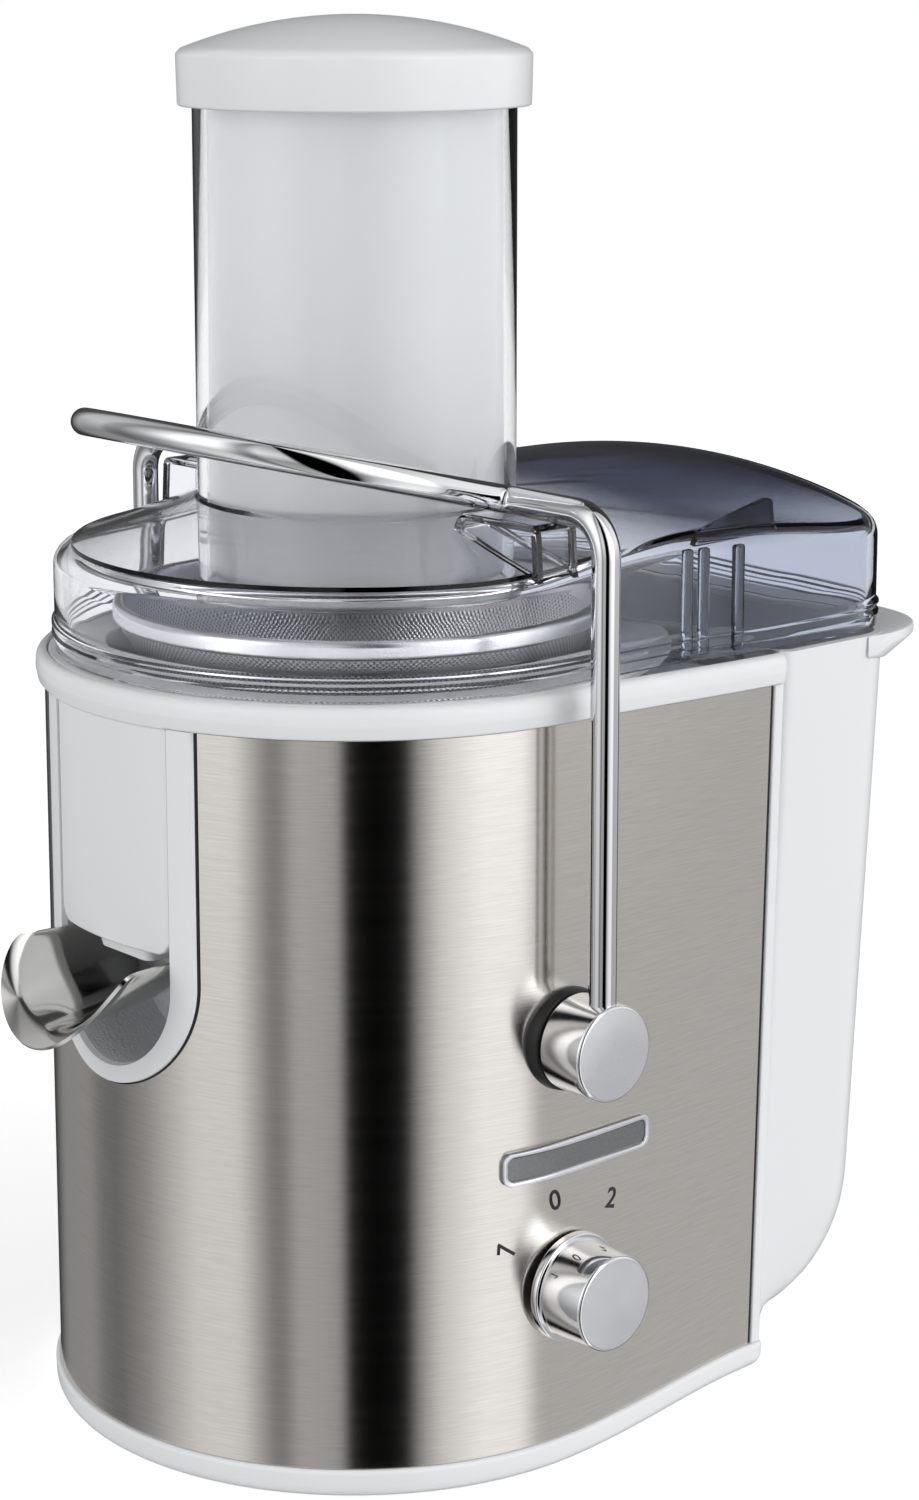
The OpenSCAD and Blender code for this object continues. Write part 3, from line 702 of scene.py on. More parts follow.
# %% Front panel
panel_box = box_mm("front_panel")
panel_low = panel_box[0].z
panel_angle = math.asin(panel_half / body_r)
inner = body_r - 2.2
panel_section = filleted([(inner, panel_low), (body_r + 0.4, panel_low, 0.8),
                          (body_r + 0.4, skin_high - 0.3, 0.6), (body_r + 1.6, skin_high + 0.2, 0.5),
                          (body_r + 2.2, skin_high + 3.5, 3), (body_r + 1.9, collar_high, 2.6),
                          (rim_r + 0.1, collar_high, 0.3), (rim_r + 0.1, 196.6), (inner, 196.6)], 5)
panel = turned(panel_section, 2 * panel_angle, -math.pi / 2 - panel_angle, 28, closed=True, cap=True)
for v in panel.verts:
    edge_share = abs(v.co.x) / panel_half
    if v.co.z < panel_low + 3 and edge_share > 0.86:
        v.co.z += 3 * ((edge_share - 0.86) / 0.14) ** 2
piece("closing_panel", panel, "base", white, ["front_panel"])

# %% Outlet stub under the panel
stub_box = box_mm("juice_outlet")
stub_rings = []
for z, half, low_y, high_y in ((150, 13, -77.5, -55), (140, 12.4, -77, -56), (130.2, 10.4, -75, -58)):
    r = 2.5
    ring = []
    for cx, cy, first in ((half - r, high_y - r, 0), (-half + r, high_y - r, 1), (-half + r, low_y + r, 2),
                          (half - r, low_y + r, 3)):
        ring += [Vector((cx + r * math.cos(t), cy + r * math.sin(t), z))
                 for t in (math.pi / 2 * (first + k / 5) for k in range(6))]
    stub_rings.append(ring)
stub = lofted(stub_rings)
piece("outlet_stub", stub, "base", white, ["juice_outlet"], thickness=1.6)

# %% [markdown]
# ## Spout frame and recess
# The frame is an arch-shaped strip that lies on the round front. A flat grid is bent twice: along
# the arch, and onto the cylinder. A dark strip, bent in the same way, lines its outer edge: painted
# shadow for the dark line where the frame meets the steel. The recess behind it is a grained tub
# with the same arch.


# %% Points on an arch
def arch_point(share, across, low_in, half_in, low_out, half_out, top):
    """A point of the strip between two arches: share runs along it, across from inside to outside."""
    half = half_in + (half_out - half_in) * across
    low = low_in + (low_out - low_in) * across
    leg = top - low - half
    bend = math.pi * half
    at = share * (2 * leg + bend)
    if at < leg:
        return (-half, top - at)
    if at > leg + bend:
        return (half, low + half + at - leg - bend)
    t = (at - leg) / half
    return (-half * math.cos(t), low + half - half * math.sin(t))


# %% Spout frame
strip = bmesh.new()
bmesh.ops.create_grid(strip, x_segments=160, y_segments=14, size=0.5)
for v in strip.verts:
    share, across = v.co.x + 0.5, v.co.y + 0.5
    x, z = arch_point(share, across, mouth_low, mouth_half, frame_low, frame_half, skin_high)
    crest = min(across, 1 - across) * 14
    lift = -0.75 + 1.65 * math.sqrt(max(0.0, 1 - (1 - min(crest, 1)) ** 2))
    r = body_r + lift
    v.co = Vector((x, -math.sqrt(r * r - x * x), z))
bmesh.ops.recalc_face_normals(strip, faces=strip.faces)
face_towards(strip, Vector((0, -1, 0)))
piece("arch_frame", strip, "base", white, ["spout_frame"], thickness=0.9)

# %% Painted shadow line round the frame
shadow_strip = bmesh.new()
bmesh.ops.create_grid(shadow_strip, x_segments=160, y_segments=3, size=0.5)
for v in shadow_strip.verts:
    share, across = v.co.x + 0.5, 0.94 + (v.co.y + 0.5) * 0.13
    x, z = arch_point(share, across, mouth_low, mouth_half, frame_low, frame_half, skin_high - 0.2)
    lift = 0.22 if v.co.y < 0.3 else -0.15
    r = body_r + lift
    v.co = Vector((x, -math.sqrt(r * r - x * x), z))
bmesh.ops.recalc_face_normals(shadow_strip, faces=shadow_strip.faces)
face_towards(shadow_strip, Vector((0, -1, 0)))
# A rubber-black strip as painted shadow along the frame's outer edge.
piece("frame_shadow_line", shadow_strip, "base", rubber, ["spout_frame"])

# %% Recess tub
back_y = liner_box[1].y - 2.0
tub_rings = []
for k in range(9):
    ring = []
    for j in range(61):
        x, z = arch_point(j / 60, 0, mouth_low, mouth_half, mouth_low, mouth_half, 144)
        y_front = -math.sqrt((body_r - 0.6) ** 2 - x * x)
        ring.append(Vector((x, y_front + (back_y - y_front) * k / 8, z)))
    tub_rings.append(ring)
for shrink, push in ((0.985, 0.0), (0.94, 0.9), (0.88, 1.2)):
    middle = Vector((0, back_y, 126))
    ring = [middle + (p - middle) * shrink + Vector((0, push, 0)) for p in tub_rings[8]]
    tub_rings.append(ring)
tub = lofted(tub_rings, loop=False)
bmesh.ops.contextual_create(tub, geom=[e for e in tub.edges if e.is_boundary
                                        and all(v.co.y > back_y + 1 for v in e.verts)])
piece("recess_tub", tub, "base", grained, ["recess_liner"], thickness=-1.6)

# %% [markdown]
# ## Spout
# The spout is pressed from polished sheet: a trough that starts narrow in the recess, opens into
# two wings and turns down at a broad round lip. A grid is shaped by a few soft curves and
# then given the thickness of the sheet.

# %% Spout
spout_box = box_mm("spout")
tip_y = spout_box[0].y + 2.5
root_y = -57.0
wing_end = tip_y + 14
wing_top = 132.8
sheet = bmesh.new()
bmesh.ops.create_grid(sheet, x_segments=64, y_segments=72, size=0.5)
for v in sheet.verts:
    turn, s = v.co.x * math.pi, v.co.y + 0.5
    middle = math.cos(turn)
    end_y = wing_end - (wing_end - tip_y) * max(0.0, middle) ** 0.9
    y = root_y + (end_y - root_y) * s
    along = min(1.0, (root_y - y) / (root_y - tip_y))
    half = 19.6 + 3.4 * along
    depth = 11.5 + 6.5 * along ** 1.3
    lip = max(0.0, (s - 0.86) / 0.14) ** 2
    x = (half + 0.9 * lip) * math.sin(turn)
    z = wing_top - depth * max(0.0, middle) ** 1.35 - 2.2 * lip * middle
    v.co = Vector((x, y, z))
bmesh.ops.recalc_face_normals(sheet, faces=sheet.faces)
face_towards(sheet, Vector((0, 0, 1)))
piece("pouring_spout", sheet, "base", polished, ["spout"], thickness=0.9)

# %% [markdown]
# ## Lid
# The lid is one clear moulding: a ring over the sieve, a shallow cone that rises to the feed
# tube, and a hood that reaches back over the bin. Rays from the drive axis carry its section
# outwards and down, so that the ring and the hood flow into each other.

# %% Outline of the lid
hood_half = lid_box[1].x
hood_end = lid_box[1].y
lid_low = lid_box[0].z
shoulder = 224.8
roof_top = 237.2


def soft_step(value, low, high):
    """0 below low, 1 above high and a smooth S between them."""
    t = min(1.0, max(0.0, (value - low) / (high - low)))
    return t * t * (3 - 2 * t)


def rim_height(y):
    """Height of the lid's edge: it climbs towards the posts and eases down over the bin."""
    return shoulder + 6.0 * soft_step(y, -25, 55) - 4.2 * soft_step(y, 62, 118)


def lid_rim(t):
    """Radius of the lid's outline at an angle t from +X, seen from the drive axis."""
    c, s = math.cos(t), math.sin(t)
    if s <= 0:
        return lid_r
    soft = min(1.0, max(0.0, (lid_r * s - 34) / 18))
    half = lid_r + (hood_half - lid_r) * soft * soft * (3 - 2 * soft)
    to_side = half / max(abs(c), 1e-6)
    across = min(1.0, abs(hood_end * c / s) / half)
    to_end = (hood_end - 4.5 * across ** 2) / s
    # A high power mean follows the nearer of the two and rounds the corner between them.
    power = 14
    return (to_side ** -power + to_end ** -power) ** (-1 / power)


# %% Sections of the lid
angles = [2 * math.pi * k / 288 for k in range(288)]
wall_t = 2.3


def lid_roof(share, down=0.0, out=0.0):
    """A ring on the roof: share runs from the tube to the rim, out and down move it off."""
    ring = []
    for t in angles:
        r = tube_r + 0.05 + (lid_rim(t) - tube_r - 0.05) * share + out
        x, y = r * math.cos(t), r * math.sin(t)
        edge = rim_height(lid_rim(t) * math.sin(t))
        cone = (1 - share) ** 1.15
        vault = max(0.0, 1 - (x / hood_half) ** 2) * soft_step(y, 0, 60)
        lift = min(1.0, (cone ** 4 + vault ** 4) ** 0.25)
        ring.append(Vector((x, y, edge + (roof_top - edge) * lift - down)))
    return ring


def lid_wall(z, out=0.0):
    """A ring of the upright wall at a fixed height."""
    reach = [(t, lid_rim(t) + out) for t in angles]
    return [Vector((r * math.cos(t), r * math.sin(t), z)) for t, r in reach]


def lid_skin(inset, shares, round_r):
    """The rings of one face of the lid, from the tube over the shoulder and down the wall."""
    rings = [lid_roof(s, inset) for s in shares]
    for k in range(8):
        t = math.pi / 2 * k / 7
        down, out = inset + round_r * (1 - math.cos(t)), -inset - round_r * (1 - math.sin(t))
        rings.append(lid_roof(1.0, down, out))
    return rings


roof_shares = [0.0, 0.08, 0.18, 0.3, 0.42, 0.54, 0.66, 0.78, 0.87]
outside = lid_skin(0.0, roof_shares, 4.6)
outside += [lid_wall(z, out) for z, out in
            ((218, 0), (212, 0), (207.2, 0), (206.6, 0.15), (206.0, 0.75), (205.2, 0.75), (204.6, 0.2),
             (203.9, 0.2), (203.3, 0.75), (202.5, 0.75), (201.9, 0.1), (lid_low + 0.1, 0))]
inside = lid_skin(wall_t, roof_shares, 2.6)
inside += [lid_wall(z, -wall_t) for z in (217, 209, lid_low + 0.1)]
lid_shell = lofted(outside + inside[::-1], closed=True)
print("lid shell", len(lid_shell.faces), "faces")

# %% [markdown]
# ### Lugs, ribs and fin
# Under the bail's top bar each side of the lid has a saddle lug: an arched wall that the bar
# presses on. Behind it, where the hood's wall steps out, stand three posts, and from the
# posts a sloping fin runs back along the edge of the roof.


# %% Lid details
def block(x, y, z, size, bevel=1.0, segments=3):
    """A small moulded block with rounded edges."""
    bm = bmesh.new()
    bmesh.ops.create_cube(bm, size=1.0)
    bmesh.ops.scale(bm, verts=bm.verts, vec=size)
    bmesh.ops.translate(bm, verts=bm.verts, vec=(x, y, z))
    bmesh.ops.bevel(bm, geom=bm.edges[:], offset=bevel, segments=segments, affect="EDGES",
                    profile=0.5, material=-1)
    return bm


def arched_lug(side):
    """A lug that rises in an arch from the roof beside the tube and ends square at the rim."""
    outline = filleted([(45.0, 233.5), (46.0, 238.3, 4.2), (74.5, 238.3, 2.0), (75.4, 225.5)], 7)
    rings = []
    for y, shrink in ((-6.5, 0.35), (-6.1, 0.0), (6.1, 0.0), (6.5, 0.35)):
        rings.append([Vector((side * x, y, z - shrink)) for x, z in outline])
    bm = lofted(rings, loop=False)
    bmesh.ops.solidify(bm, geom=bm.faces[:], thickness=1.8)
    for y in (-5.6, 5.6):
        faces = [[Vector((side * x, y + d, z - 0.9)) for x, z in outline] for d in (-0.9, 0.9)]
        join_into(bm, lofted(faces, caps=(0, 1)))
    return bm


def edge_fin(side):
    """A triangular fin along the edge of the roof."""
    outline = filleted([(44, 228), (46, 231.6, 0.5), (71.5, 237.6, 1.4), (72.6, 228.5)], 4)
    x = side * (hood_half - 4.4)
    return lofted([[Vector((x + d, y, z)) for y, z in outline] for d in (-1.1, 1.1)], caps=(0, 1))


extras = []
for side in (-1, 1):
    extras.append(arched_lug(side))
    extras.append(edge_fin(side))
    for y, half in ((42, lid_r - 0.6), (47, lid_r + 0.2), (57, hood_half - 0.8)):
        extras.append(block(side * half, y, 214, (2.2, 3.4, 27), 0.8))
piece("clear_lid", join_into(lid_shell, *extras), "base", clear, ["lid"])

# %% [markdown]
# ## Feed tube, pusher and cap
# All three are turned. The tube's wall has a rounded mouth, and it stands on the lid's cone.
# The pusher is a white cup that hangs in it from a domed cap.

# %% Feed tube
tube_low, tube_high = tube_box[0].z, tube_box[1].z
tube_in = tube_r - 2.5
tube_section = filleted([(tube_in, tube_low), (tube_in, tube_high, 1.0), (tube_r, tube_high, 1.0),
                         (tube_r, tube_low, 0.8), (tube_in, tube_low)], 4)[:-1]
feed = turned(tube_section, closed=True, steps=128)
piece("clear_tube", feed, "base", clear_tube, ["feed_tube"])

# %% Pusher
push_box = box_mm("pusher")
push_r, push_low, push_high = push_box[1].x, push_box[0].z, push_box[1].z
push_wall = 2
push_in = push_r - push_wall
push_section = filleted([(0, push_low), (push_r, push_low, 2.5), (push_r, push_high), (push_in, push_high),
                         (push_in, push_low + push_wall, 1.5), (0, push_low + push_wall)], 5)
pusher = turned(push_section, steps=128)
piece("pusher_body", pusher, "pusher", white, ["pusher"])

# %% Pusher cap
cap_r, cap_low, cap_high = cap_box[1].x, cap_box[0].z, cap_box[1].z
dome_foot, skirt_top, underside = 348, 347.2, 346.9
crown = cap_high - dome_foot
ball = (cap_r ** 2 + crown ** 2) / (2 * crown)
dome = [(ball * math.sin(t), cap_high - ball + ball * math.cos(t))
        for t in (math.asin((cap_r - 1.2) / ball) * k / 24 for k in range(25))]
skirt = filleted([dome[-1], (cap_r, skirt_top, 1.6), (cap_r - 0.3, cap_low, 0.7),
                  (cap_r - 2.2, cap_low, 0.6), (cap_r - 2.4, underside, 0.8), (0, underside)], 5)
cap = turned(dome[:-1] + skirt, steps=144)
piece("domed_cap", cap, "pusher", white, ["pusher_cap"])

# %% [markdown]
# ## Sieve basket
# The sieve spins under the lid and can be made out through its ring: a conical sheet with a
# rolled rim.

# %% Basket
mesh_box = box_mm("basket_mesh")
cone = turned([(44.2, mesh_box[0].z), (mesh_box[1].x - 0.5, mesh_box[1].z)], steps=128)
piece("sieve_cone", cone, "rotor", sieve, ["basket_mesh"], thickness=0.8)
rim_low, rim_top, rim_out = rim_box[0].z, rim_box[1].z, rim_box[1].x
rolled = filleted([(rim_out - 3.4, rim_low), (rim_out, rim_low, 1), (rim_out, rim_top, 1.6),
                   (rim_out - 3.4, rim_top, 1.6), (rim_out - 3.4, rim_low)], 5)[:-1]
ring = turned(rolled, closed=True, steps=128)
piece("sieve_rim", ring, "rotor", satin_face, ["basket_rim"])

# %% [markdown]
# ## Pulp bin
# The bin hangs behind the body. It tapers to the foot in both directions, its rear foot is
# drawn in with a large radius, and a lip along the rear rim gives the fingers a hold.

# %% Pulp bin
bin_low, bin_high = bin_box[0].z, bin_box[1].z
bin_back = 116.0
bin_foot = bin_low - 4.6
bin_half = 83.0
foot_round = 36.0


def bin_ring(z, steps=10):
    """The bin's rounded outline at a height. Near the foot the rear wall curls forward."""
    t = (z - bin_foot) / (bin_high - bin_foot)
    below = max(0.0, 1 - (z - bin_foot) / foot_round)
    curl = 1 - math.sqrt(max(0.0, 1 - below * below))
    half_front = 67 + (bin_half - 67) * t
    half_rear = 69 + (bin_half - 0.5 - 69) * t - 9 * curl
    y_front = between(rear_depth, z) + 1.1
    y_rear = bin_back + 3.5 * (1 - t) - 0.72 * foot_round * curl
    r_front = 4.0
    r_rear = max(3.0, min(13.0, (y_rear - y_front) / 2))
    ring = []
    for cx, cy, r, first in ((half_rear - r_rear, y_rear - r_rear, r_rear, 0),
                             (-half_rear + r_rear, y_rear - r_rear, r_rear, 1),
                             (-half_front + r_front, y_front + r_front, r_front, 2),
                             (half_front - r_front, y_front + r_front, r_front, 3)):
        ring += [Vector((cx + r * math.cos(a), cy + r * math.sin(a), z))
                 for a in (math.pi / 2 * (first + k / steps) for k in range(steps + 1))]
    return ring


curled = [bin_foot + foot_round * (1 - math.cos(math.pi / 2 * k / 12)) for k in range(13)]
upright = bin_high - bin_foot - foot_round
levels = curled + [bin_foot + foot_round + upright * k / 16 for k in range(1, 17)]
bin_shell = lofted([bin_ring(z) for z in levels], caps=(0,))
bmesh.ops.solidify(bin_shell, geom=bin_shell.faces[:], thickness=2.0)
lip_reach = bin_box[1].y
lip_rings = []
for k in range(61):
    x = bin_half * math.sin((-1 + 2 * k / 60) * math.pi / 2)
    bow = max(0.0, 1 - (x / (bin_half + 0.4)) ** 8)
    end = bin_back - 8 + (lip_reach - bin_back + 8) * bow ** 0.6
    start = bin_back - 1.2 - 12.5 * max(0.0, (abs(x) - 70) / 13) ** 2
    end = max(end, start + 2)
    drop = 1.0 + 8.5 * min(1.0, (end - start) / 20)
    top, knee = bin_high - 0.1, start + (end - start) * 0.3
    section = filleted([(start, top), (end, top, 0.9), (end, bin_high - 2.6, 0.9),
                        (knee, bin_high - drop, 1.0), (start, bin_high - drop)], 4)
    lip_rings.append([Vector((x, y, z)) for y, z in section])
lip = lofted(lip_rings, caps=(0, 1))
piece("bin_body", join_into(bin_shell, lip), "bin", white, ["pulp_bin"])

# %% [markdown]
# ## Locking bail
# The bail is bent from 7 mm rod and chromed. Each arm rises from its pivot cap, turns in over
# the lid and meets the loop that runs round in front of the feed tube.

# %% Bail arms and loop
arm_box = box_mm("bail_arm_right")
rod_r = (arm_box[1].y - arm_box[0].y) / 2
arm_x = arm_box[1].x - rod_r
bar_z = arm_box[1].z - rod_r
seam_x = arm_box[0].x
bend = 10.0
corner_r = 5.0
loop_half = seam_x - corner_r
straight = 16.5
tilt = math.radians(14)


def over(x, z):
    return Vector((x, 0, z))


def in_loop_plane(x, y):
    return Vector((x, y * math.cos(tilt), bar_z - y * math.sin(tilt)))


for side, name in ((1, "right"), (-1, "left")):
    path = [over(arm_x, arm_box[0].z + 0.5), over(arm_x, 150), over(arm_x, 190)]
    path += arc((arm_x - bend, bar_z - bend), bend, 0, math.pi / 2, 12, over)
    path += [over(seam_x + 0.15, bar_z)]
    rod = lofted(wire_rings([(side * p.x, p.y, p.z) for p in path], rod_r, 32), caps=(0, 1))
    piece(f"bail_rod_{name}", rod, "bail", chrome, [f"bail_arm_{name}"])
half_path = arc((seam_x, -corner_r), corner_r, math.pi / 2, math.pi, 8, in_loop_plane)
half_path += arc((0, -straight), loop_half, 0, -math.pi / 2, 40, in_loop_plane)
path = half_path + [Vector((-p.x, p.y, p.z)) for p in reversed(half_path[:-1])]
hoop = lofted(wire_rings(path, rod_r, 32), caps=(0, 1))
piece("bail_hoop", hoop, "bail", chrome, ["bail_loop"])

# %% [markdown]
# ## Pivot caps and speed knob
# Both are turned chrome. The pivot cap is a plain drum on a black gasket. The knob has a
# stepped foot and a drum that narrows slightly to a satin face with a fine bevel.

# %% Pivot caps and gaskets
pivot_box = box_mm("pivot_cap_right")
pivot_z = (pivot_box[0].z + pivot_box[1].z) / 2
drum_r = (pivot_box[1].z - pivot_box[0].z) / 2
gasket_box = box_mm("pivot_gaskets")


def drum(section):
    """A solid turned from a section with fillets."""
    return turned(filleted(section, 5), steps=96)


def satin_front(made, reach):
    """Gives the end face of a chrome drum a satin finish, as a second material."""
    made.data.materials.append(satin_face)
    for face in made.data.polygons:
        if abs(face.normal.x) > 0.99 and abs(face.center.x) > reach:
            face.material_index = 1


for side, name in ((1, "right"), (-1, "left")):
    length = pivot_box[1].x - pivot_box[0].x
    section = [(0, length), (drum_r - 0.2, length, 0.9), (drum_r, 0, 0.8), (8, 0)]
    cap = along_x(drum(section), pivot_box[0].x, 0, pivot_z, side)
    made = piece(f"pivot_drum_{name}", cap, "bail", chrome, [f"pivot_cap_{name}"])
    satin_front(made, 0.09)
    section = [(5, 3.6), (12.6, 3.6, 0.6), (13, 0.5), (13, -3.0), (5, -3.0)]
    ring = along_x(turned(filleted(section, 3), steps=72), gasket_box[1].x - 3.6, 0, pivot_z, side)
    piece(f"gasket_{name}", ring, "base", rubber, ["pivot_gaskets"])

# %% Speed knob
knob_box = box_mm("speed_knob")
knob_y = (knob_box[0].y + knob_box[1].y) / 2
knob_z = (knob_box[0].z + knob_box[1].z) / 2
reach = knob_box[1].x - knob_box[0].x
foot_r = (knob_box[1].z - knob_box[0].z) / 2
knob_section = [(0, reach), (foot_r - 2, reach, 0.9), (foot_r - 1.4, 3.0, 0.4), (foot_r - 1.4, 2.2, 0.2),
                (foot_r - 0.1, 2.2, 0.5), (foot_r, 0, 0.4), (6, 0)]
knob = along_x(drum(knob_section), knob_box[0].x, knob_y, knob_z)
made = piece("knob_drum", knob, "knob", chrome, ["speed_knob"])
satin_front(made, knob_box[1].x * MM - 0.0002)

# %% [markdown]
# ## Badge and dial numbers
# The badge is a blank raised plate with a bright bead round it. The dial numbers are flat prints:
# type is turned into a mesh and laid on the steel round the knob. The 1 is drawn from given points,
# with a slanted flag and no foot.


# %% On the side wall
def on_side(y, z, out):
    """A point on the right side of the body, out from the steel."""
    if y < 0:
        r = body_r + out
        return Vector((math.sqrt(r * r - y * y), y, z))
    return Vector((side_x(y, z) + out, y, z))


badge_box = box_mm("badge")
badge_y = (badge_box[0].y + badge_box[1].y) / 2
badge_z = (badge_box[0].z + badge_box[1].z) / 2
badge_w = badge_box[1].y - badge_box[0].y
badge_h = badge_box[1].z - badge_box[0].z
plate = bmesh.new()
bmesh.ops.create_grid(plate, x_segments=96, y_segments=24, size=0.5)
corner = 2.2
for v in plate.verts:
    a, b = v.co.x * badge_w, v.co.y * badge_h
    inset_x = badge_w / 2 - abs(a)
    inset_y = badge_h / 2 - abs(b)
    if inset_x < corner and inset_y < corner:
        spot = Vector((corner - inset_x, corner - inset_y))
        if spot.length > corner:
            spot = spot.normalized() * corner
            a = math.copysign(badge_w / 2 - corner + spot.x, a)
            b = math.copysign(badge_h / 2 - corner + spot.y, b)
        edge = corner - spot.length
    else:
        edge = min(inset_x, inset_y)
    lift = -0.1 + 1.1 * min(1.0, max(0.0, edge) / 0.35) - (0.35 if edge > 1.0 else 0)
    v.co = on_side(badge_y + a, badge_z + b, lift)
bmesh.ops.recalc_face_normals(plate, faces=plate.faces)
face_towards(plate, Vector((1, 0, 0)))
piece("blank_badge", plate, "base", badge_grey, ["badge"])

# %% Bead round the badge
half_w, half_h = badge_w / 2, badge_h / 2
corners = filleted([(0, -half_h), (half_w, -half_h, 2.4), (half_w, half_h, 2.4), (-half_w, half_h, 2.4),
                    (-half_w, -half_h, 2.4), (-0.5, -half_h)], 8)
outline = []
for (a0, b0), (a1, b1) in zip(corners, corners[1:] + corners[:1]):
    outline += [(a0 + (a1 - a0) * k / 8, b0 + (b1 - b0) * k / 8) for k in range(8)]
bead = []
for a, b in outline:
    hub = on_side(badge_y + a * 0.97, badge_z + b * 0.93, 1.0)
    way = Vector((a / badge_w, b / badge_h)).normalized()
    bead.append([hub + Vector((0.45 * math.sin(t), 0.75 * way.x * math.cos(t), 0.75 * way.y * math.cos(t)))
                 for t in (2 * math.pi * k / 8 for k in range(8))])
piece("badge_border", lofted(bead, closed=True), "base", satin_face, ["badge"])


# %% Shapes of the numbers
def typed(text):
    """A character of the built-in type as a flat mesh round its own middle."""
    curve = bpy.data.curves.new(f"type_{text}", "FONT")
    curve.body = text
    curve.size = 7.4
    curve.offset = 0.08
    curve.align_x = "CENTER"
    curve.align_y = "CENTER"
    holder = bpy.data.objects.new(f"type_{text}", curve)
    bm = bmesh.new()
    bm.from_mesh(bpy.data.meshes.new_from_object(holder))
    bpy.data.objects.remove(holder)
    bmesh.ops.triangulate(bm, faces=bm.faces)
    bmesh.ops.subdivide_edges(bm, edges=bm.edges[:], cuts=1)
    return bm


def drawn_one():
    """A plain 1: a stem 0.8 wide and 5.6 tall with a flag to the left of its head."""
    outline = [(-2.1, 1.5), (-0.1, 2.8), (0.55, 2.8), (0.55, -2.8), (-0.25, -2.8), (-0.25, 1.75),
               (-1.75, 0.8)]
    bm = bmesh.new()
    bmesh.ops.triangulate(bm, faces=[bm.faces.new([bm.verts.new((a, b, 0)) for a, b in outline])])
    return bm


# %% Dial numbers
def dial_number(name, bm, degrees, lean, radius=23.5):
    """Prints a number on the steel, at an angle round the knob and leaning by its own angle."""
    spot, turn = math.radians(degrees), math.radians(lean)
    for v in bm.verts:
        a, b = v.co.x, v.co.y
        y = knob_y + radius * math.sin(spot) + a * math.cos(turn) + b * math.sin(turn)
        z = knob_z + radius * math.cos(spot) - a * math.sin(turn) + b * math.cos(turn)
        v.co = on_side(y, z, 0.06)
    face_towards(bm, Vector((1, 0, 0)))
    piece(name, bm, "base", ink, thickness=-0.05)


dial_number("dial_1", drawn_one(), -55, -54)
dial_number("dial_0", typed("0"), -12, -14)
dial_number("dial_2", typed("2"), 38, 16)

# %% [markdown]
# ## Studio
# The camera stands to the right of the spout, a little above the lid, as far off as a person
# would for a product picture. The walls of the room run from bright to black, and that is what
# draws the tall bands on steel and chrome. Two soft lights, which metal doesn't mirror, and a
# little light from below fill the white mouldings.

# %% Camera
azimuth = math.radians(48.96)
distance = 826
camera_height = 369.8
aside = 26.05
pitch = math.radians(11.02)
focal_share = 2.1915
right = Vector((math.cos(azimuth), math.sin(azimuth), 0))
ahead = Vector((-math.sin(azimuth), math.cos(azimuth), 0))
camera_data = bpy.data.cameras.new("camera")
camera = bpy.data.objects.new("camera", camera_data)
bpy.context.scene.collection.objects.link(camera)
camera_data.sensor_width = 36
camera_data.lens = 36 * focal_share
camera_data.shift_y = -0.1
spot = AXIS - ahead * distance + right * aside + Vector((0, 0, camera_height))
camera.location = spot * MM
look = ahead * math.cos(pitch) - Vector((0, 0, math.sin(pitch)))
camera.rotation_euler = look.to_track_quat("-Z", "Y").to_euler()
bpy.context.scene.camera = camera


# %% Lights
def softbox(name, azimuth_deg, height, reach, size, power):
    """An area light at an angle round the object, aimed at its middle."""
    data = bpy.data.lights.new(name, "AREA")
    data.shape = "RECTANGLE"
    data.size, data.size_y = size
    data.energy = power
    light = bpy.data.objects.new(name, data)
    bpy.context.scene.collection.objects.link(light)
    a = math.radians(azimuth_deg)
    light.location = (reach * math.sin(a), -reach * math.cos(a), height)
    aim = Vector((0, 0, 0.17)) - light.location
    light.rotation_euler = aim.to_track_quat("-Z", "Y").to_euler()
    light.visible_glossy = False


softbox("left_box", -10, 0.7, 1.6, (0.6, 1.2), 3.5)
softbox("right_box", 118, 0.6, 1.5, (0.8, 1.2), 3)

# %% Floor
sweep = bmesh.new()
bmesh.ops.create_grid(sweep, x_segments=1, y_segments=1, size=30)
floor_mesh = bpy.data.meshes.new("floor")
sweep.to_mesh(floor_mesh)
sweep.free()
floor_finish, floor_tree, floor_shader = finish("pale_paper", (0.9, 0.9, 0.9), 0.6, Emission_Strength=0.55)
floor_shader.inputs["Emission Color"].default_value = (1, 1, 1, 1)
bump(floor_tree, floor_shader, grain(floor_tree, (300, 300, 300)).outputs["Fac"], 0.03, 0.0003)
floor_mesh.materials.append(floor_finish)
floor = bpy.data.objects.new("floor", floor_mesh)
bpy.context.scene.collection.objects.link(floor)
floor.visible_glossy = False
floor.visible_diffuse = False

# %% Studio walls
# Each pair is an angle round the object, from the front wall towards the knob side, and how
# bright the studio is there. The camera stands at 49 degrees, with a black flag beside it.
walls = [(-180, 0.05), (-112, 0.07), (-96, 0.5), (-70, 0.55), (-62, 0.35), (-52, 0.28), (-35, 0.55),
         (-12, 1.3), (5, 1.3), (13, 0.7), (18, 0.38), (22, 0.38), (28, 0.75), (43, 0.65), (46, 0.0),
         (68, 0.0), (72, 0.5), (80, 1.2), (96, 1.8), (112, 1.8), (120, 0.85), (170, 0.9), (178, 0.06),
         (180, 0.05)]
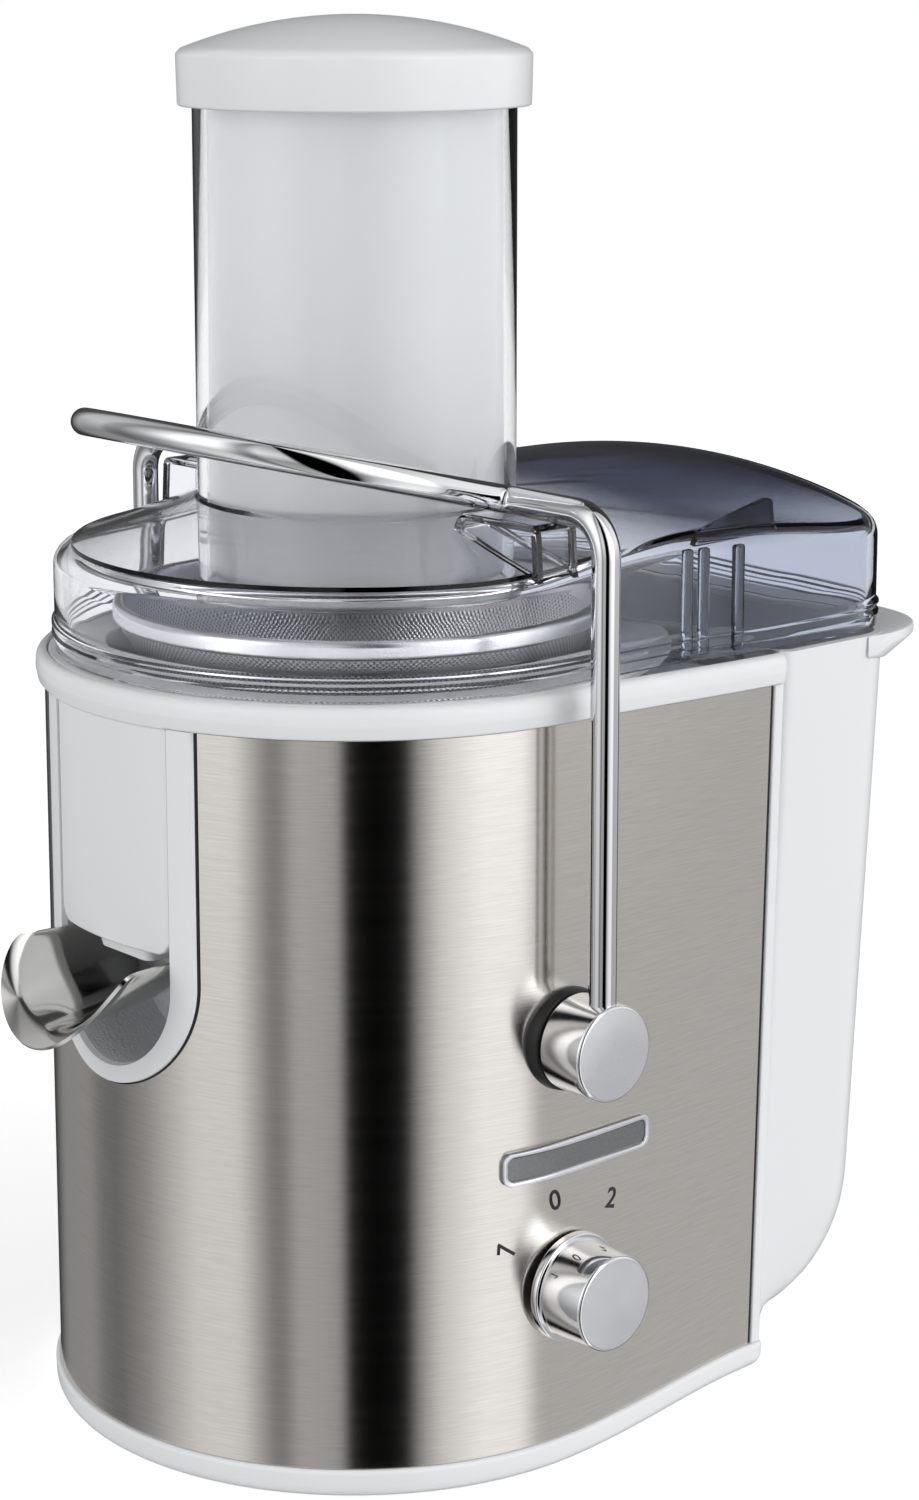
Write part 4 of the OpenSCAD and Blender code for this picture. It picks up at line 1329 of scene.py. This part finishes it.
# The second table does the same for height: each pair is the upward part of the direction, from
# straight down to straight up, and a factor on the brightness.
heights = [(-1.0, 0.65), (-0.3, 0.52), (0.0, 0.9), (0.25, 1.2), (0.55, 1.1), (1.0, 0.6)]
world = bpy.data.worlds.new("studio")
bpy.context.scene.world = world
world.use_nodes = True
sky = world.node_tree
where = sky.nodes.new("ShaderNodeTexCoord")
split = sky.nodes.new("ShaderNodeSeparateXYZ")
sky.links.new(where.outputs["Generated"], split.inputs["Vector"])


def sky_math(kind, *values):
    """One Math node in the world's tree."""
    node = sky.nodes.new("ShaderNodeMath")
    node.operation = kind
    for socket, value in zip(node.inputs, values):
        if isinstance(value, (int, float)):
            socket.default_value = value
        else:
            sky.links.new(value, socket)
    return node.outputs[0]


def sky_ramp(source, low, high, stops):
    """A grey ramp over a signal that runs from low to high."""
    ramp = sky.nodes.new("ShaderNodeValToRGB")
    share = sky_math("DIVIDE", sky_math("SUBTRACT", source, low), high - low)
    sky.links.new(share, ramp.inputs["Fac"])
    elements = ramp.color_ramp.elements
    for i, (at, level) in enumerate(stops):
        place = (at - low) / (high - low)
        element = elements[i] if i < 2 else elements.new(place)
        if i < 2:
            element.position = place
        element.color = (level, level, level, 1)
    return ramp.outputs["Color"]


round_angle = sky_math("ARCTAN2", split.outputs["X"], sky_math("MULTIPLY", split.outputs["Y"], -1))
round_degrees = sky_math("MULTIPLY", round_angle, 180 / math.pi)
level = sky_math("MULTIPLY", sky_ramp(round_degrees, -180, 180, walls),
                 sky_ramp(split.outputs["Z"], -1, 1, heights))
background = sky.nodes["Background"]
background.inputs["Color"].default_value = (0.98, 0.985, 1.0, 1)
# The camera itself sees plain white. Only matt surfaces get the faint light from under the floor.
floor_glow = 0.12
seen = sky.nodes.new("ShaderNodeLightPath")
shaped = sky_math("MULTIPLY", level, sky_math("SUBTRACT", 1, seen.outputs["Is Camera Ray"]))
below = sky_math("MULTIPLY", sky_math("LESS_THAN", split.outputs["Z"], 0.0), floor_glow)
shaped = sky_math("ADD", shaped, sky_math("MULTIPLY", below, seen.outputs["Is Diffuse Ray"]))
sky.links.new(sky_math("ADD", seen.outputs["Is Camera Ray"], shaped), background.inputs["Strength"])
bpy.context.scene.view_settings.view_transform = "Standard"
